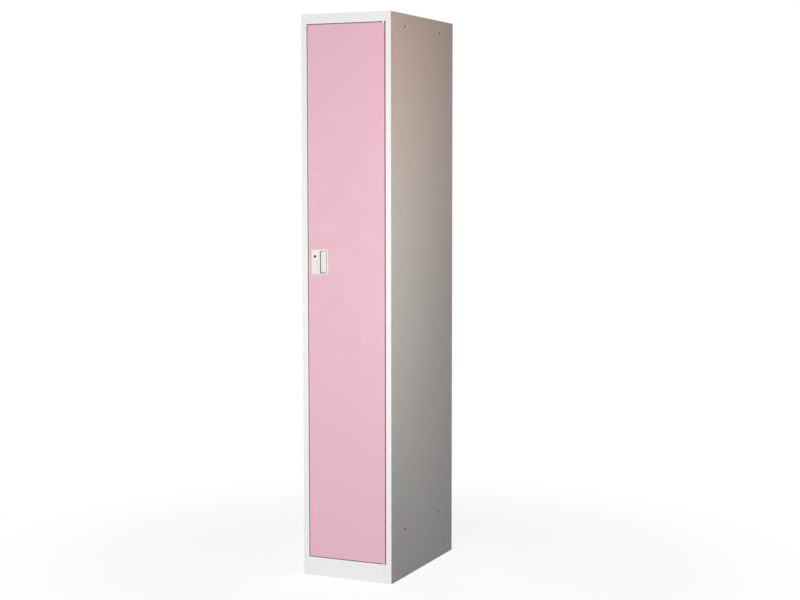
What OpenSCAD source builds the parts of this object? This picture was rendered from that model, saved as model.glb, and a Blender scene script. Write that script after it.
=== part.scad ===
// Single steel clothes locker with one flush door, hinged on its right side.
// Millimetres. Z is up, the front faces -Y, X runs left to right as seen from the front.
// The origin is the middle of the footprint, on the floor.

/* [Cabinet] */
// Overall width
body_w = 310; // [280:5:400]
// Overall depth, front face to back
body_d = 500; // [420:5:600]
// Overall height
body_h = 1790; // [1600:10:1950]
// Thickness of the cabinet's sheet steel
sheet_t = 0.8; // [0.6:0.1:1.0]
// Width of the upright beside the door
stile_w = 19; // [16:0.5:26]
// Height of the rail above the door
header_h = 30.5; // [24:0.5:50]
// Height of the plinth below the door
plinth_h = 61; // [50:1:90]
// Depth of the folded returns round the doorway
return_d = 21; // [21:0.5:30]
// Width of the stop flange behind the door's edge
stop_w = 12; // [8:0.5:14]
// Width of the folds where sheets overlap
fold_w = 15; // [10:1:25]

/* [Side holes] */
// Diameter of the holes that join two lockers
join_hole_d = 9; // [5:0.5:10]
// Front pair of holes, behind the front face
join_front = 106; // [60:1:150]
// Rear pair of holes, in front of the back
join_rear = 115; // [60:1:150]
// Lower pair of holes, above the floor
join_low = 157; // [100:1:220]
// Upper pair of holes, below the top
join_top = 40; // [25:1:120]

/* [Door] */
// Thickness of the door's sheet steel
door_t = 0.8; // [0.6:0.1:1.0]
// Depth of the folded door
door_d = 18; // [16:0.5:18]
// Gap at the door's free side, top and bottom
door_gap = 2.4; // [2:0.1:5]
// Gap at the door's hinge side
hinge_gap = 3.3; // [3.1:0.1:8]
// Width of the folds on the door's inner face
door_lip = 12; // [8:0.5:13]
// Width of the stiffener's raised middle
rib_w = 60; // [40:1:90]
// Thickness of the rubber door buffers
buffer_t = 2.8; // [2:0.1:2.9]

/* [Pivots] */
// Diameter of the pivot pins
pivot_d = 5; // [4:0.5:6]
// Distance of the pivot axis from the door's edge and from its face
pivot_inset = 6; // [5.5:0.1:7]
// Thickness of the cabinet's pivot brackets
bracket_t = 2; // [1:0.1:3]
// Radial running clearance of the moving pins
run_play = 0.05; // [0.02:0.01:0.1]

/* [Pull plate] */
// Width of the pull plate
plate_w = 59; // [58:0.5:70]
// Height of the pull plate
plate_h = 78; // [72:1:110]
// Left edge of the plate, from the door's free edge
plate_side = 12.5; // [10:0.1:20]
// Height of the plate's middle above the floor
plate_z = 1014; // [700:1:1200]
// Height of the plate's rim above the door face
plate_rim = 1.8; // [1:0.1:2.5]
// Wall thickness of the moulded plate
plate_wall = 2; // [1.5:0.1:2.2]
// Width of the solid part that holds the lock
lock_zone = 24.6; // [22:0.1:25]
// Width of the finger gap beside the lever
finger_gap = 4.6; // [4.4:0.1:6]
// Width of the lever
lever_w = 19.1; // [16:0.1:21]
// Diameter of the lever's pin
lever_pin_d = 3; // [2:0.5:3]
// Height of the gap below the lever
lever_gap_low = 3; // [1.5:0.1:5]
// Height of the gap above the lever
lever_gap_top = 1; // [0.6:0.1:3]

/* [Lock] */
// Diameter of the lock's face
lock_d = 12.8; // [12:0.1:14]
// Diameter of the turning plug
plug_d = 10.4; // [9:0.1:10.6]
// Height of the lock's axis above the plate's middle
lock_rise = 17; // [8:0.5:20]
// Distance of the lock's axis from the plate's left edge
lock_side = 12; // [11:0.1:13]
// Length of the cam from the lock's axis
cam_l = 21; // [18:0.5:25]
// Thickness of the cam
cam_t = 2; // [1.5:0.1:2.5]

/* [Hat shelf and rail] */
// Depth of the shelf's top below the cabinet's top
shelf_drop = 335; // [280:5:420]
// Depth of the shelf's front fold
shelf_lip = 25; // [15:1:30]
// Diameter of the hanger rail
rail_d = 19; // [16:0.5:25]
// Drop of the rail's axis below the shelf
rail_drop = 44; // [35:1:70]

/* [Door fittings] */
// Width of the mirror
mirror_w = 90; // [76:1:110]
// Height of the mirror
mirror_h = 150; // [100:5:200]
// Thickness of the mirror
mirror_t = 3; // [2:0.5:4]
// Distance of the mirror below the door's top edge
mirror_drop = 150; // [60:5:200]
// Length of the towel rail
towel_l = 170; // [100:5:190]
// Diameter of the towel rail
towel_d = 6; // [5:0.5:8]
// Distance of the towel rail below the mirror
towel_drop = 276; // [60:2:300]
// Distance of the towel rail from the door's stiffener
towel_out = 23; // [15:1:28]

/* [Umbrella stand] */
// Inner diameter of the umbrella ring
ring_d = 70; // [50:1:80]
// Diameter of the ring's wire
ring_wire = 5; // [4:0.5:6]
// Height of the ring above the floor
ring_z = 560; // [450:10:700]
// Width of the drip tray
tray_w = 100; // [90:5:120]
// Length of the drip tray
tray_l = 160; // [120:5:200]
// Height of the drip tray
tray_h = 28; // [20:1:40]
// Wall thickness of the drip tray
tray_wall = 2; // [1.5:0.1:3]

/* [Hidden] */
$fn = 64;

// Colours of the finishes
frame_paint = "#ECEDEF";
door_paint = "#E7B8C8";
moulding = "#EDECE4";
steel = "#B9BCC0";
zinc = "#A4A5A8";
black_rubber = "#2B2B2C";
ferrite = "#3A3936";
nylon = "#E4E2DA";
silvered = "#CBD3D6";

// Folds
bend_r = 1.2;                      // middle radius of every sheet fold
skin_r = 1.6;                      // outer radius of the door's edges
seat = 0.3;                        // clearance of pieces that only rest side by side
fit = 0.05;                        // radial clearance of screws, rivets and fixed pins
eps = 0.01;                        // overshoot of cuts

// Cabinet planes
hw = body_w / 2;
front_y = -body_d / 2;
back_y = body_d / 2;
inner_x = hw - sheet_t;            // inner face of a side panel
open_x = hw - stile_w;             // edge of the doorway
open_lo = plinth_h;
open_hi = body_h - header_h;
stop_y = front_y + return_d;       // front of the stop flanges
floor_z = plinth_h - sheet_t;      // top of the floor panel
wall_y = back_y - sheet_t;         // back panel's rear face
back_in = wall_y - sheet_t;        // back panel's front face
sheet_out = bend_r + sheet_t / 2;  // outer radius of a fold
pan_w = inner_x - seat;            // half width of what lies between the side panels
corner_cut = 1.2;                  // notch of the top panel at the side panels' folds

// Door planes
door_l = -open_x + door_gap;
door_r = open_x - hinge_gap;
door_lo = open_lo + door_gap;
door_hi = open_hi - door_gap;
door_mid = (door_l + door_r) / 2;
door_back = front_y + door_d;
pivot_x = door_r - pivot_inset;
pivot_y = front_y + pivot_inset;

// Pivots
pivot_r = pivot_d / 2;
bush_wall = 1;
bush_r = pivot_r + run_play + bush_wall;
bush_flange_r = bush_r + 0.9;
bush_flange_top = 1;               // flange above the door
bush_flange_low = door_gap - 0.2;  // flange below the door, which carries it on the plinth
pivot_plate_t = 2.5;               // door's own pivot plates
pivot_plate_w = 28;
pivot_reach = door_gap + 8;        // length of a pin inside the doorway
bracket_side = 14;                 // bracket's reach from the pivot, away from the hinge edge
bracket_x0 = pivot_x - bracket_side;
bracket_x1 = open_x - seat;
bracket_y0 = front_y + sheet_out;
bracket_y1 = stop_y - fold_w / 2 - seat;
bracket_out = sheet_t + bracket_t; // reach of the return and the bracket outside the doorway
rivet_r = 1.6;
rivet_head_r = 2.8;
rivet_head_t = 1.2;
rivet_edge = 3.5;
bracket_rivet_xs = [bracket_x0 + rivet_edge, bracket_x1 - rivet_edge];
lip_end = bracket_x0 - 4;          // where the stop lips end, clear of the turning corner

// Catch on the free side's stop flange
catch_h = 52;
catch_in = 3;                      // catch's distance from the doorway's edge
catch_w = stop_w - catch_in;
catch_x = -open_x + stop_w - catch_w / 2;
catch_drop = 130;                  // catch below the pull plate's middle
catch_end = 3;                     // rivet's distance from the yoke's end
catch_z = plate_z - catch_drop;
yoke_t = 0.8;
magnet_t = 2;
catch_rivet_r = 1.4;
catch_rivet_zs = [catch_z - catch_h / 2 + catch_end, catch_z + catch_h / 2 - catch_end];
catch_head_r = catch_rivet_r + 1.2;
catch_head_t = 0.9;
magnet_side = 0.5;                 // magnet's inset from the yoke's long edges
magnet_end = 6.5;                  // magnet's inset from the yoke's ends

// Buffers
buffer_r = 4.5;
buffer_edge = 1;                   // distance of a buffer from the flange's edge
buffer_end = 60;                   // distance of a buffer from the door's corners
buffer_side_zs = [door_lo + buffer_end, (plate_z + door_hi) / 2, door_hi - buffer_end];
buffer_side_x = -open_x + stop_w - buffer_r - buffer_edge;
buffer_lip_xs = [-open_x + buffer_end, lip_end - buffer_end];
buffer_lip_in = stop_w - buffer_r - buffer_edge;

// Pull plate
plate_l = door_l + plate_side;
plate_r = plate_l + plate_w;
plate_lo = plate_z - plate_h / 2;
plate_hi = plate_z + plate_h / 2;
plate_face = front_y - plate_rim;
plate_edge = 2.5;                  // rim that overlaps the door skin
cut_l = plate_l + plate_edge;
cut_r = plate_r - plate_edge;
cut_lo = plate_lo + plate_edge;
cut_hi = plate_hi - plate_edge;
plate_in = seat;                   // play of the moulding in the door's cut-out
pocket_d = 15.5;                   // depth of the pocket behind the plate's face
pocket_y = plate_face + pocket_d;
plate_back = pocket_y + plate_wall;
ridge_w = 5.2;                     // raised ridge between the lock and the finger gap
ridge_h = 0.5;
ridge_flat = 1;
plate_corner = 2;
pocket_edge = 3;                   // rim below the pocket
pocket_top = 4.8;                  // rim above the pocket
pocket_l = plate_l + lock_zone + ridge_w;
pocket_r = pocket_l + finger_gap + lever_w;
pocket_lo = plate_lo + pocket_edge;
pocket_hi = plate_hi - pocket_top;

// Lever
lever_lo = pocket_lo + lever_gap_low;
lever_hi = pocket_hi - lever_gap_top;
lever_l = pocket_l + finger_gap;
knuckle_r = 3.2;
lever_in = 1.2;                    // depth of the knuckle's front behind the plate's face
lever_px = pocket_r - knuckle_r - seat;
lever_py = plate_face + knuckle_r + lever_in;
neck_r = 1.8;
neck_x = lever_px - 4;
neck_y = plate_face + 1.2;         // neck's middle, so that its front stands a little proud
cap_r = 1.2;                       // rounded end of the lever's face, over the knuckle
cap_x = lever_px + 0.4;
cap_y = plate_face + 0.8;
hook_r = 1.2;
hook_x = lever_l + 1.4;
lever_nose = 3.8;                  // how far the free edge stands out from the plate
lever_tip_r = 1.1;
lever_hook = 4;                    // depth of the hooked edge that fingers pull
lever_pin_r = lever_pin_d / 2;
pin_end = 1.8;                     // how far the pin enters the plate above and below
spring_wire = 0.6;
spring_r = lever_pin_r + spring_wire / 2 + 0.5;
spring_turns = 5;
spring_pitch = 1.4;
spring_lo = plate_z - spring_turns * spring_pitch / 2;
spring_play = 0.15;                // clearance of the spring's legs
spring_leg = 9;                    // reach of the leg behind the lever
spring_slot = spring_turns * spring_pitch / 2 + 1.5;

// Lock
lock_x = plate_l + lock_side;
lock_z = plate_z + lock_rise;
lock_r = lock_d / 2;
plug_r = plug_d / 2;
lock_face = plate_face - 0.6;
plug_in = 3.2;                     // plug's face behind the housing's face
housing_out = 1.5;                 // housing's end behind the door
housing_end = door_back + housing_out;
lock_nut_r = 9;
lock_nut_t = 3;
nut_room = 0.6;                    // room for the nut in the moulding
clip_zs = [plate_z - 26, plate_z + 31];
plate_clip_w = 3.5;
plate_clip_h = 10;
plate_clip_t = 5;
cam_y0 = stop_y + sheet_t + 2;     // cam's face, clear behind the stop flange
cam_w = 11;
tail_half = 3;                     // half width of the plug's square tail
cam_screw_r = 1.5;
cam_head_r = 5;
cam_head_t = 2;
keyway_w = 1.4;
keyway_lobe_r = 1.5;
keyway_reach = 2.7;                // distance of the round lobes from the lock's axis
keyway_d = 9;

// Shelf
shelf_z = body_h - shelf_drop;
shelf_set = 19;                    // shelf's front edge behind the stop flange
shelf_front = stop_y + shelf_set;
shelf_back = back_in - seat;
shelf_lip_up = 18;
support_leg = 15;
support_h = 20;
support_end = 12;                  // angle's end, inside the shelf's folds
support_y0 = shelf_front + support_end;
support_y1 = shelf_back - support_end;
shelf_under = shelf_z - sheet_t;
shelf_screw_x = inner_x - support_leg / 2 - 1;
shelf_screw_end = 25;
shelf_screw_ys = [support_y0 + shelf_screw_end, support_y1 - shelf_screw_end];
shelf_screw_l = 5;                 // screw's length below the angle
m4_r = 2;
head_r = 3.8;
head_t = 2.2;

// Rail
rail_r = rail_d / 2;
rail_z = shelf_under - rail_drop;
strap_t = 1.6;
strap_w = 30;
strap_below = 7;                   // strap below the rail
strap_x = inner_x - support_leg - 2;   // outer face of the rail brackets
strap_flange = 22;
rail_out = 5;                      // rail's end past the strap
rail_half = strap_x + rail_out;
rail_wall = 1;
cap_t = 2;
cap_plug = 6;                      // length of a cap inside the rail
cap_rim = 1;
nut_r = 4;
nut_t = 3;
rail_screw_x = strap_x - strap_flange / 2 - 1;
rail_screw_pitch = 18;
rail_screw_ys = [-rail_screw_pitch / 2, rail_screw_pitch / 2];

// Door's inside
rib_y = door_back - 1.2;           // rear face of the stiffener's middle
rib_foot = 16;
clip_w = 14;
clip_t = 0.8;
clip_lip = 3;
clip_foot = 9;                     // length of a clip's foot beside the mirror
clip_screw = 6;                    // distance of a clip's screw from the mirror's edge
clip_pitch = 44;
clip_xs = [door_mid - clip_pitch / 2, door_mid + clip_pitch / 2];
mirror_z = door_hi - mirror_drop - mirror_h / 2;
towel_z = mirror_z - mirror_h / 2 - towel_drop;
screw_r = 1.5;
screw_l = 6;                       // length of a small screw behind the stiffener's face
screw_head_r = 2.8;
screw_head_t = 1.4;
towel_foot_w = 12;
towel_foot_in = 3;                 // foot's distance from the stiffener's edge
towel_arm_x = [for (s = [-1, 1]) door_mid + s * (rib_w / 2 - towel_foot_in - towel_foot_w / 2)];
towel_foot_h = 34;
towel_foot_t = 1.6;
towel_screw = 12;                  // distance of a bracket's screws from the rail
towel_arm_t = 2.4;
towel_eye_r = 6;
towel_y = rib_y + towel_out;
towel_r = towel_d / 2;
knob_r = towel_r + 2;
knob_l = 8;
knob_cap = 2;                      // knob's end past the rail

// Umbrella stand, front left corner
ring_r = ring_d / 2 + ring_wire / 2;
ring_out = 4;                      // ring's clearance from the side panel
ring_back = 30;                    // ring's clearance behind the stop flange
ring_x = -inner_x + ring_r + ring_wire / 2 + ring_out;
ring_y = stop_y + ring_r + ring_back;
ring_plate_h = 40;
ring_plate_w = 30;
ring_plate_t = 2;
ring_arm_h = ring_wire - 2;
tray_out = 6;                      // tray's clearance from the side panel
tray_back = 14;                    // tray's clearance behind the stop flange
tray_corner = 8;
tray_x = -inner_x + tray_w / 2 + tray_out;
tray_y = stop_y + tray_l / 2 + tray_back;

// A quarter fold at p, where the sheet turns from direction u to direction v
module fold(p, u, v, t) {
    c = p - bend_r * u + bend_r * v;
    q = p + (u - v) * t;
    intersection() {
        translate(c) difference() {
            circle(r = bend_r + t / 2);
            circle(r = bend_r - t / 2);
        }
        translate([min(c[0], q[0]), min(c[1], q[1])])
            square([abs(q[0] - c[0]), abs(q[1] - c[1])]);
    }
}

// Cross-section of a sheet bent at right angles along the middle line pts
module bent_outline(pts, t) {
    last = len(pts) - 1;
    for (i = [0 : last - 1]) {
        d = pts[i + 1] - pts[i];
        u = d / norm(d);
        a = pts[i] + (i > 0 ? bend_r : 0) * u;
        b = pts[i + 1] - (i < last - 1 ? bend_r : 0) * u;
        side = [abs(u[1]), abs(u[0])] * t / 2;
        lo = [min(a[0], b[0]), min(a[1], b[1])] - side;
        hi = [max(a[0], b[0]), max(a[1], b[1])] + side;
        translate(lo) square(hi - lo);
        if (i > 0) {
            e = pts[i] - pts[i - 1];
            fold(pts[i], e / norm(e), u, t);
        }
    }
}

// A bent sheet that stands upright from z0 to z1
module upright(pts, z0, z1, t = sheet_t)
    translate([0, 0, z0]) linear_extrude(z1 - z0) bent_outline(pts, t);

// A bent sheet that runs along X from x0 to x1, with its points given as [y, z]
module crosswise(pts, x0, x1, t = sheet_t)
    translate([x0, 0, 0]) rotate([90, 0, 90]) linear_extrude(x1 - x0) bent_outline(pts, t);

// A block between two corners
module block(lo, hi) translate(lo) cube(hi - lo);

// A cylinder along Y, from y0 to y1
module rod_y(x, z, y0, y1, r, sides = 64)
    translate([x, y0, z]) rotate([-90, 0, 0]) cylinder(r = r, h = y1 - y0, $fn = sides);

// A cylinder along X, from x0 to x1
module rod_x(y, z, x0, x1, r)
    translate([x0, y, z]) rotate([0, 90, 0]) cylinder(r = r, h = x1 - x0);

// A cylinder along Z, from z0 to z1
module rod_z(x, y, z0, z1, r, sides = 64)
    translate([x, y, z0]) cylinder(r = r, h = z1 - z0, $fn = sides);

// The four holes that join this locker to its neighbour
module join_holes(x)
    for (y = [front_y + join_front, back_y - join_rear], z = [join_low, body_h - join_top])
        rod_x(y, z, x - 2 * sheet_t, x + 2 * sheet_t, join_hole_d / 2);

// Right-hand side panel with its upright; stop adds the flange behind the door's free edge
module side_shape(stop) {
    mid = hw - sheet_t / 2;
    rear = back_y - sheet_t / 2;
    front = front_y + sheet_t / 2;
    jamb = open_x + sheet_t / 2;
    wrap = [[hw - fold_w, rear], [mid, rear], [mid, front]];
    flat = concat(wrap, [[open_x, front]]);
    bare = concat(wrap, [[jamb, front], [jamb, stop_y]]);
    flanged = concat(wrap, [
        [jamb, front], [jamb, stop_y + sheet_t / 2], [open_x - stop_w, stop_y + sheet_t / 2]
    ]);
    difference() {
        union() {
            upright(flat, 0, open_lo);
            upright(stop ? flanged : bare, open_lo, open_hi);
            upright(flat, open_hi, body_h);
            block([hw - fold_w, front_y + fold_w, 0], [hw - sheet_t / 2, back_in - 1, sheet_t]);
        }
        join_holes(hw);
    }
}

module left_side_panel() color(frame_paint) difference() {
    mirror([1, 0, 0]) side_shape(true);
    catch_rivet_holes(stop_y - 1, stop_y + sheet_t + 1);
}

module right_side_panel() color(frame_paint) side_shape(false);

module back_panel() color(frame_paint)
    block([-hw + sheet_out, back_in, 0], [hw - sheet_out, wall_y, body_h - sheet_t]);

// A flat sheet with a fold turned down on all four sides
module tray_down(x, y0, y1, z) {
    difference() {
        block([-x, y0, z - fold_w], [x, y1, z]);
        block([-x + sheet_t, y0 + sheet_t, z - fold_w - eps], [x - sheet_t, y1 - sheet_t, z - sheet_t]);
    }
}

module top_panel() color(frame_paint) difference() {
    tray_down(inner_x, front_y + sheet_t, back_in, body_h);
    for (s = [-1, 1]) rod_z(s * (hw - sheet_t), front_y + sheet_t, body_h - fold_w - 1, body_h + 1, corner_cut);
}

module floor_panel() color(frame_paint)
    tray_down(inner_x, bracket_y1 + seat, back_in, floor_z);

// Face, return and stop lip of the rail above or the plinth below the doorway
module doorway_rail(face_z, edge_z, way) {
    front = front_y + sheet_t / 2;
    z = edge_z - way * sheet_t / 2;
    lip_z = edge_z + way * stop_w;
    crosswise([[front, face_z], [front, z], [stop_y, z]], -open_x, open_x);
    crosswise(
        [[stop_y - fold_w / 2, z], [stop_y + sheet_t / 2, z], [stop_y + sheet_t / 2, lip_z]],
        -open_x + stop_w, lip_end
    );
}

module header_rail() color(frame_paint) difference() {
    doorway_rail(body_h, open_hi, -1);
    bracket_holes(open_hi - eps, open_hi + sheet_t + eps);
}

module plinth() color(frame_paint) difference() {
    union() {
        doorway_rail(0, open_lo, 1);
        block([-open_x, front_y + sheet_t / 2, 0], [open_x, front_y + fold_w, sheet_t]);
    }
    bracket_holes(open_lo - sheet_t - eps, open_lo + eps);
}

// Holes for a pivot pin and the rivets beside it
module bracket_holes(z0, z1) {
    rod_z(pivot_x, pivot_y, z0, z1, pivot_r + fit);
    for (x = bracket_rivet_xs) rod_z(x, pivot_y, z0, z1, rivet_r + fit);
}

// Bracket that carries a pivot pin on the hidden side of the doorway's return
module pivot_bracket(z0, z1) difference() {
    block([bracket_x0, bracket_y0, z0], [bracket_x1, bracket_y1, z1]);
    bracket_holes(z0 - eps, z1 + eps);
}

module pivot_bracket_top() color(frame_paint)
    pivot_bracket(open_hi + sheet_t, open_hi + bracket_out);

module pivot_bracket_bottom() color(frame_paint)
    pivot_bracket(open_lo - bracket_out, open_lo - sheet_t);

module pivot_pin_top() color(steel)
    rod_z(pivot_x, pivot_y, open_hi - pivot_reach, open_hi + bracket_out, pivot_r);

module pivot_pin_bottom() color(steel)
    rod_z(pivot_x, pivot_y, open_lo - bracket_out, open_lo + pivot_reach, pivot_r);

module bracket_rivets() color(steel)
    for (x = bracket_rivet_xs) {
        rod_z(x, pivot_y, open_hi, open_hi + bracket_out, rivet_r);
        rod_z(x, pivot_y, open_hi + bracket_out, open_hi + bracket_out + rivet_head_t, rivet_head_r);
        rod_z(x, pivot_y, open_lo - bracket_out, open_lo, rivet_r);
        rod_z(x, pivot_y, open_lo - bracket_out - rivet_head_t, open_lo - bracket_out, rivet_head_r);
    }

module door_buffers() color(black_rubber) {
    for (z = buffer_side_zs) rod_y(buffer_side_x, z, stop_y - buffer_t, stop_y, buffer_r);
    for (x = buffer_lip_xs, z = [open_hi - buffer_lip_in, open_lo + buffer_lip_in])
        rod_y(x, z, stop_y - buffer_t, stop_y, buffer_r);
}

module catch_rivet_holes(y0, y1)
    for (z = catch_rivet_zs) rod_y(catch_x, z, y0, y1, catch_rivet_r + fit);

module catch_yoke() color(steel) difference() {
    block(
        [catch_x - catch_w / 2, stop_y - yoke_t, catch_z - catch_h / 2],
        [catch_x + catch_w / 2, stop_y, catch_z + catch_h / 2]
    );
    catch_rivet_holes(stop_y - yoke_t - eps, stop_y + eps);
}

module catch_magnet() color(ferrite)
    block(
        [catch_x - catch_w / 2 + magnet_side, stop_y - yoke_t - magnet_t, catch_z - catch_h / 2 + magnet_end],
        [catch_x + catch_w / 2 - magnet_side, stop_y - yoke_t, catch_z + catch_h / 2 - magnet_end]
    );

module catch_rivets() color(steel)
    for (z = catch_rivet_zs) {
        rod_y(catch_x, z, stop_y - yoke_t, stop_y + sheet_t, catch_rivet_r);
        rod_y(catch_x, z, stop_y - yoke_t - catch_head_t, stop_y - yoke_t, catch_head_r);
        rod_y(catch_x, z, stop_y + sheet_t, stop_y + sheet_t + catch_head_t, catch_head_r);
    }

// Holes through the shelf and what is screwed to it
module shelf_holes(xs, ys, z0, z1)
    for (x = xs, y = ys) rod_z(x, y, z0, z1, m4_r + fit);

module hat_shelf() color(frame_paint) difference() {
    crosswise(
        [
            [shelf_front + sheet_t / 2, shelf_z - shelf_lip],
            [shelf_front + sheet_t / 2, shelf_z - sheet_t / 2],
            [shelf_back - sheet_t / 2, shelf_z - sheet_t / 2],
            [shelf_back - sheet_t / 2, shelf_z + shelf_lip_up]
        ],
        -pan_w, pan_w
    );
    shelf_holes([-shelf_screw_x, shelf_screw_x], shelf_screw_ys, shelf_under - eps, shelf_z + eps);
    shelf_holes([-rail_screw_x, rail_screw_x], rail_screw_ys, shelf_under - eps, shelf_z + eps);
}

// Angle that is welded to a side panel and carries the shelf
module shelf_support() difference() {
    translate([0, support_y1, 0]) rotate([90, 0, 0]) linear_extrude(support_y1 - support_y0)
        bent_outline(
            [
                [inner_x - sheet_t / 2, shelf_under - support_h],
                [inner_x - sheet_t / 2, shelf_under - sheet_t / 2],
                [inner_x - support_leg, shelf_under - sheet_t / 2]
            ],
            sheet_t
        );
    shelf_holes([shelf_screw_x], shelf_screw_ys, shelf_under - sheet_t - eps, shelf_under + eps);
}

module shelf_support_left() color(frame_paint) mirror([1, 0, 0]) shelf_support();

module shelf_support_right() color(frame_paint) shelf_support();

// Pan-head screw that stands in a hole from z0 up to the sheet's top at z1
module screw_z(x, y, z0, z1) {
    rod_z(x, y, z0, z1, m4_r);
    rod_z(x, y, z1, z1 + head_t, head_r);
}

module shelf_screws() color(steel)
    for (x = [-shelf_screw_x, shelf_screw_x], y = shelf_screw_ys)
        screw_z(x, y, shelf_under - sheet_t - shelf_screw_l, shelf_z);

// Strap that hangs the rail from the shelf
module rail_bracket() difference() {
    translate([0, strap_w / 2, 0]) rotate([90, 0, 0]) linear_extrude(strap_w) bent_outline(
        [
            [strap_x - strap_t / 2, rail_z - rail_r - strap_below],
            [strap_x - strap_t / 2, shelf_under - strap_t / 2],
            [strap_x - strap_flange, shelf_under - strap_t / 2]
        ],
        strap_t
    );
    rod_x(0, rail_z, strap_x - strap_t - eps, strap_x + eps, rail_r + fit);
    shelf_holes([rail_screw_x], rail_screw_ys, shelf_under - strap_t - eps, shelf_under + eps);
}

module rail_bracket_left() color(steel) mirror([1, 0, 0]) rail_bracket();

module rail_bracket_right() color(steel) rail_bracket();

module rail_screws() color(steel)
    for (x = [-rail_screw_x, rail_screw_x], y = rail_screw_ys)
        screw_z(x, y, shelf_under - strap_t - nut_t - 1, shelf_z);

module rail_nuts() color(steel)
    for (x = [-rail_screw_x, rail_screw_x], y = rail_screw_ys) difference() {
        rod_z(x, y, shelf_under - strap_t - nut_t, shelf_under - strap_t, nut_r, 6);
        rod_z(x, y, shelf_under - strap_t - nut_t - eps, shelf_under - strap_t + eps, m4_r + fit);
    }

module hanger_rail() color(steel) difference() {
    rod_x(0, rail_z, -rail_half, rail_half, rail_r);
    rod_x(0, rail_z, -rail_half - eps, rail_half + eps, rail_r - rail_wall);
}

module rail_caps() color(nylon)
    for (s = [-1, 1]) rotate([0, 0, s > 0 ? 0 : 180]) {
        rod_x(0, rail_z, rail_half, rail_half + cap_t, rail_r + cap_rim);
        rod_x(0, rail_z, rail_half - cap_plug, rail_half, rail_r - rail_wall - fit);
    }

// Wire ring on a small plate that is welded to the side panel
module umbrella_ring() color(steel) {
    translate([ring_x, ring_y, ring_z]) rotate_extrude() translate([ring_r, 0]) circle(r = ring_wire / 2);
    block(
        [-inner_x, ring_y - ring_plate_w / 2, ring_z - ring_plate_h / 2],
        [-inner_x + ring_plate_t, ring_y + ring_plate_w / 2, ring_z + ring_plate_h / 2]
    );
    block(
        [-inner_x + ring_plate_t / 2, ring_y - ring_plate_w / 2, ring_z - ring_arm_h / 2],
        [ring_x - ring_r, ring_y + ring_plate_w / 2, ring_z + ring_arm_h / 2]
    );
}

// Rectangle with round corners of radius r, drawn from squares and circles
module round_rect(lo, hi, r) {
    translate([lo[0] + r, lo[1]]) square([hi[0] - lo[0] - 2 * r, hi[1] - lo[1]]);
    translate([lo[0], lo[1] + r]) square([hi[0] - lo[0], hi[1] - lo[1] - 2 * r]);
    for (x = [lo[0] + r, hi[0] - r], y = [lo[1] + r, hi[1] - r]) translate([x, y]) circle(r = r);
}

// The door's box, pulled in by g on every side, with its four front edges rounded
module door_box(g, r) intersection() {
    translate([0, 0, door_lo + g]) linear_extrude(door_hi - door_lo - 2 * g)
        round_rect([door_l + g, front_y + g], [door_r - g, door_back - g], r);
    translate([door_l + g, 0, 0]) rotate([90, 0, 90]) linear_extrude(door_r - door_l - 2 * g)
        round_rect([front_y + g, door_lo + g], [door_back - g, door_hi - g], r);
}

module door_skin() color(door_paint) difference() {
    door_box(0, skin_r);
    door_box(door_t, skin_r - door_t);
    block(
        [door_l + door_lip, door_back - 2, door_lo + door_lip],
        [door_r - door_lip, door_back + 1, door_hi - door_lip]
    );
    block([cut_l, front_y - 1, cut_lo], [cut_r, front_y + 2, cut_hi]);
    rod_z(pivot_x, pivot_y, door_lo - 1, door_lo + 2, bush_r + fit);
    rod_z(pivot_x, pivot_y, door_hi - 2, door_hi + 1, bush_r + fit);
}

// Holes for the small screws of the mirror and the towel rail
module fitting_holes(y0, y1) {
    for (x = clip_xs, s = [-1, 1]) rod_y(x, mirror_z + s * (mirror_h / 2 + clip_screw), y0, y1, screw_r + fit);
    for (x = towel_arm_x, s = [-1, 1]) rod_y(x, towel_z + s * towel_screw, y0, y1, screw_r + fit);
}

module door_stiffener() color(door_paint) difference() {
    skin_in = front_y + door_t;
    foot = skin_in + door_t / 2;
    crown = rib_y - door_t / 2;
    side = rib_w / 2 - door_t / 2;
    upright(
        [
            [door_mid - side - rib_foot, foot], [door_mid - side, foot], [door_mid - side, crown],
            [door_mid + side, crown], [door_mid + side, foot], [door_mid + side + rib_foot, foot]
        ],
        door_lo + skin_r, door_hi - skin_r, door_t
    );
    fitting_holes(rib_y - 2, rib_y + 1);
}

// Plate inside the door's end that holds a bush
module door_pivot_plate(z0, z1) difference() {
    block(
        [door_r - skin_r - pivot_plate_w, front_y + skin_r, z0],
        [door_r - skin_r, door_back - skin_r, z1]
    );
    rod_z(pivot_x, pivot_y, z0 - eps, z1 + eps, bush_r + fit);
}

module door_pivot_plate_top() color(steel)
    door_pivot_plate(door_hi - door_t - pivot_plate_t, door_hi - door_t);

module door_pivot_plate_bottom() color(steel)
    door_pivot_plate(door_lo + door_t, door_lo + door_t + pivot_plate_t);

// Bush whose flange lies outside the door's end at z and whose sleeve points inward
module pivot_bush(z, way, flange_t) {
    sleeve = z + way * (door_t + pivot_plate_t);
    flange = z - way * flange_t;
    difference() {
        union() {
            rod_z(pivot_x, pivot_y, min(z, sleeve), max(z, sleeve), bush_r);
            rod_z(pivot_x, pivot_y, min(z, flange), max(z, flange), bush_flange_r);
        }
        rod_z(pivot_x, pivot_y, min(sleeve, flange) - 1, max(sleeve, flange) + 1, pivot_r + run_play);
    }
}

module pivot_bush_top() color(nylon) pivot_bush(door_hi, -1, bush_flange_top);

module pivot_bush_bottom() color(nylon) pivot_bush(door_lo, 1, bush_flange_low);

// The moulding's box behind the door skin
module plate_body(y0, y1)
    block([cut_l + plate_in, y0, cut_lo + plate_in], [cut_r - plate_in, y1, cut_hi - plate_in]);

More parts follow.
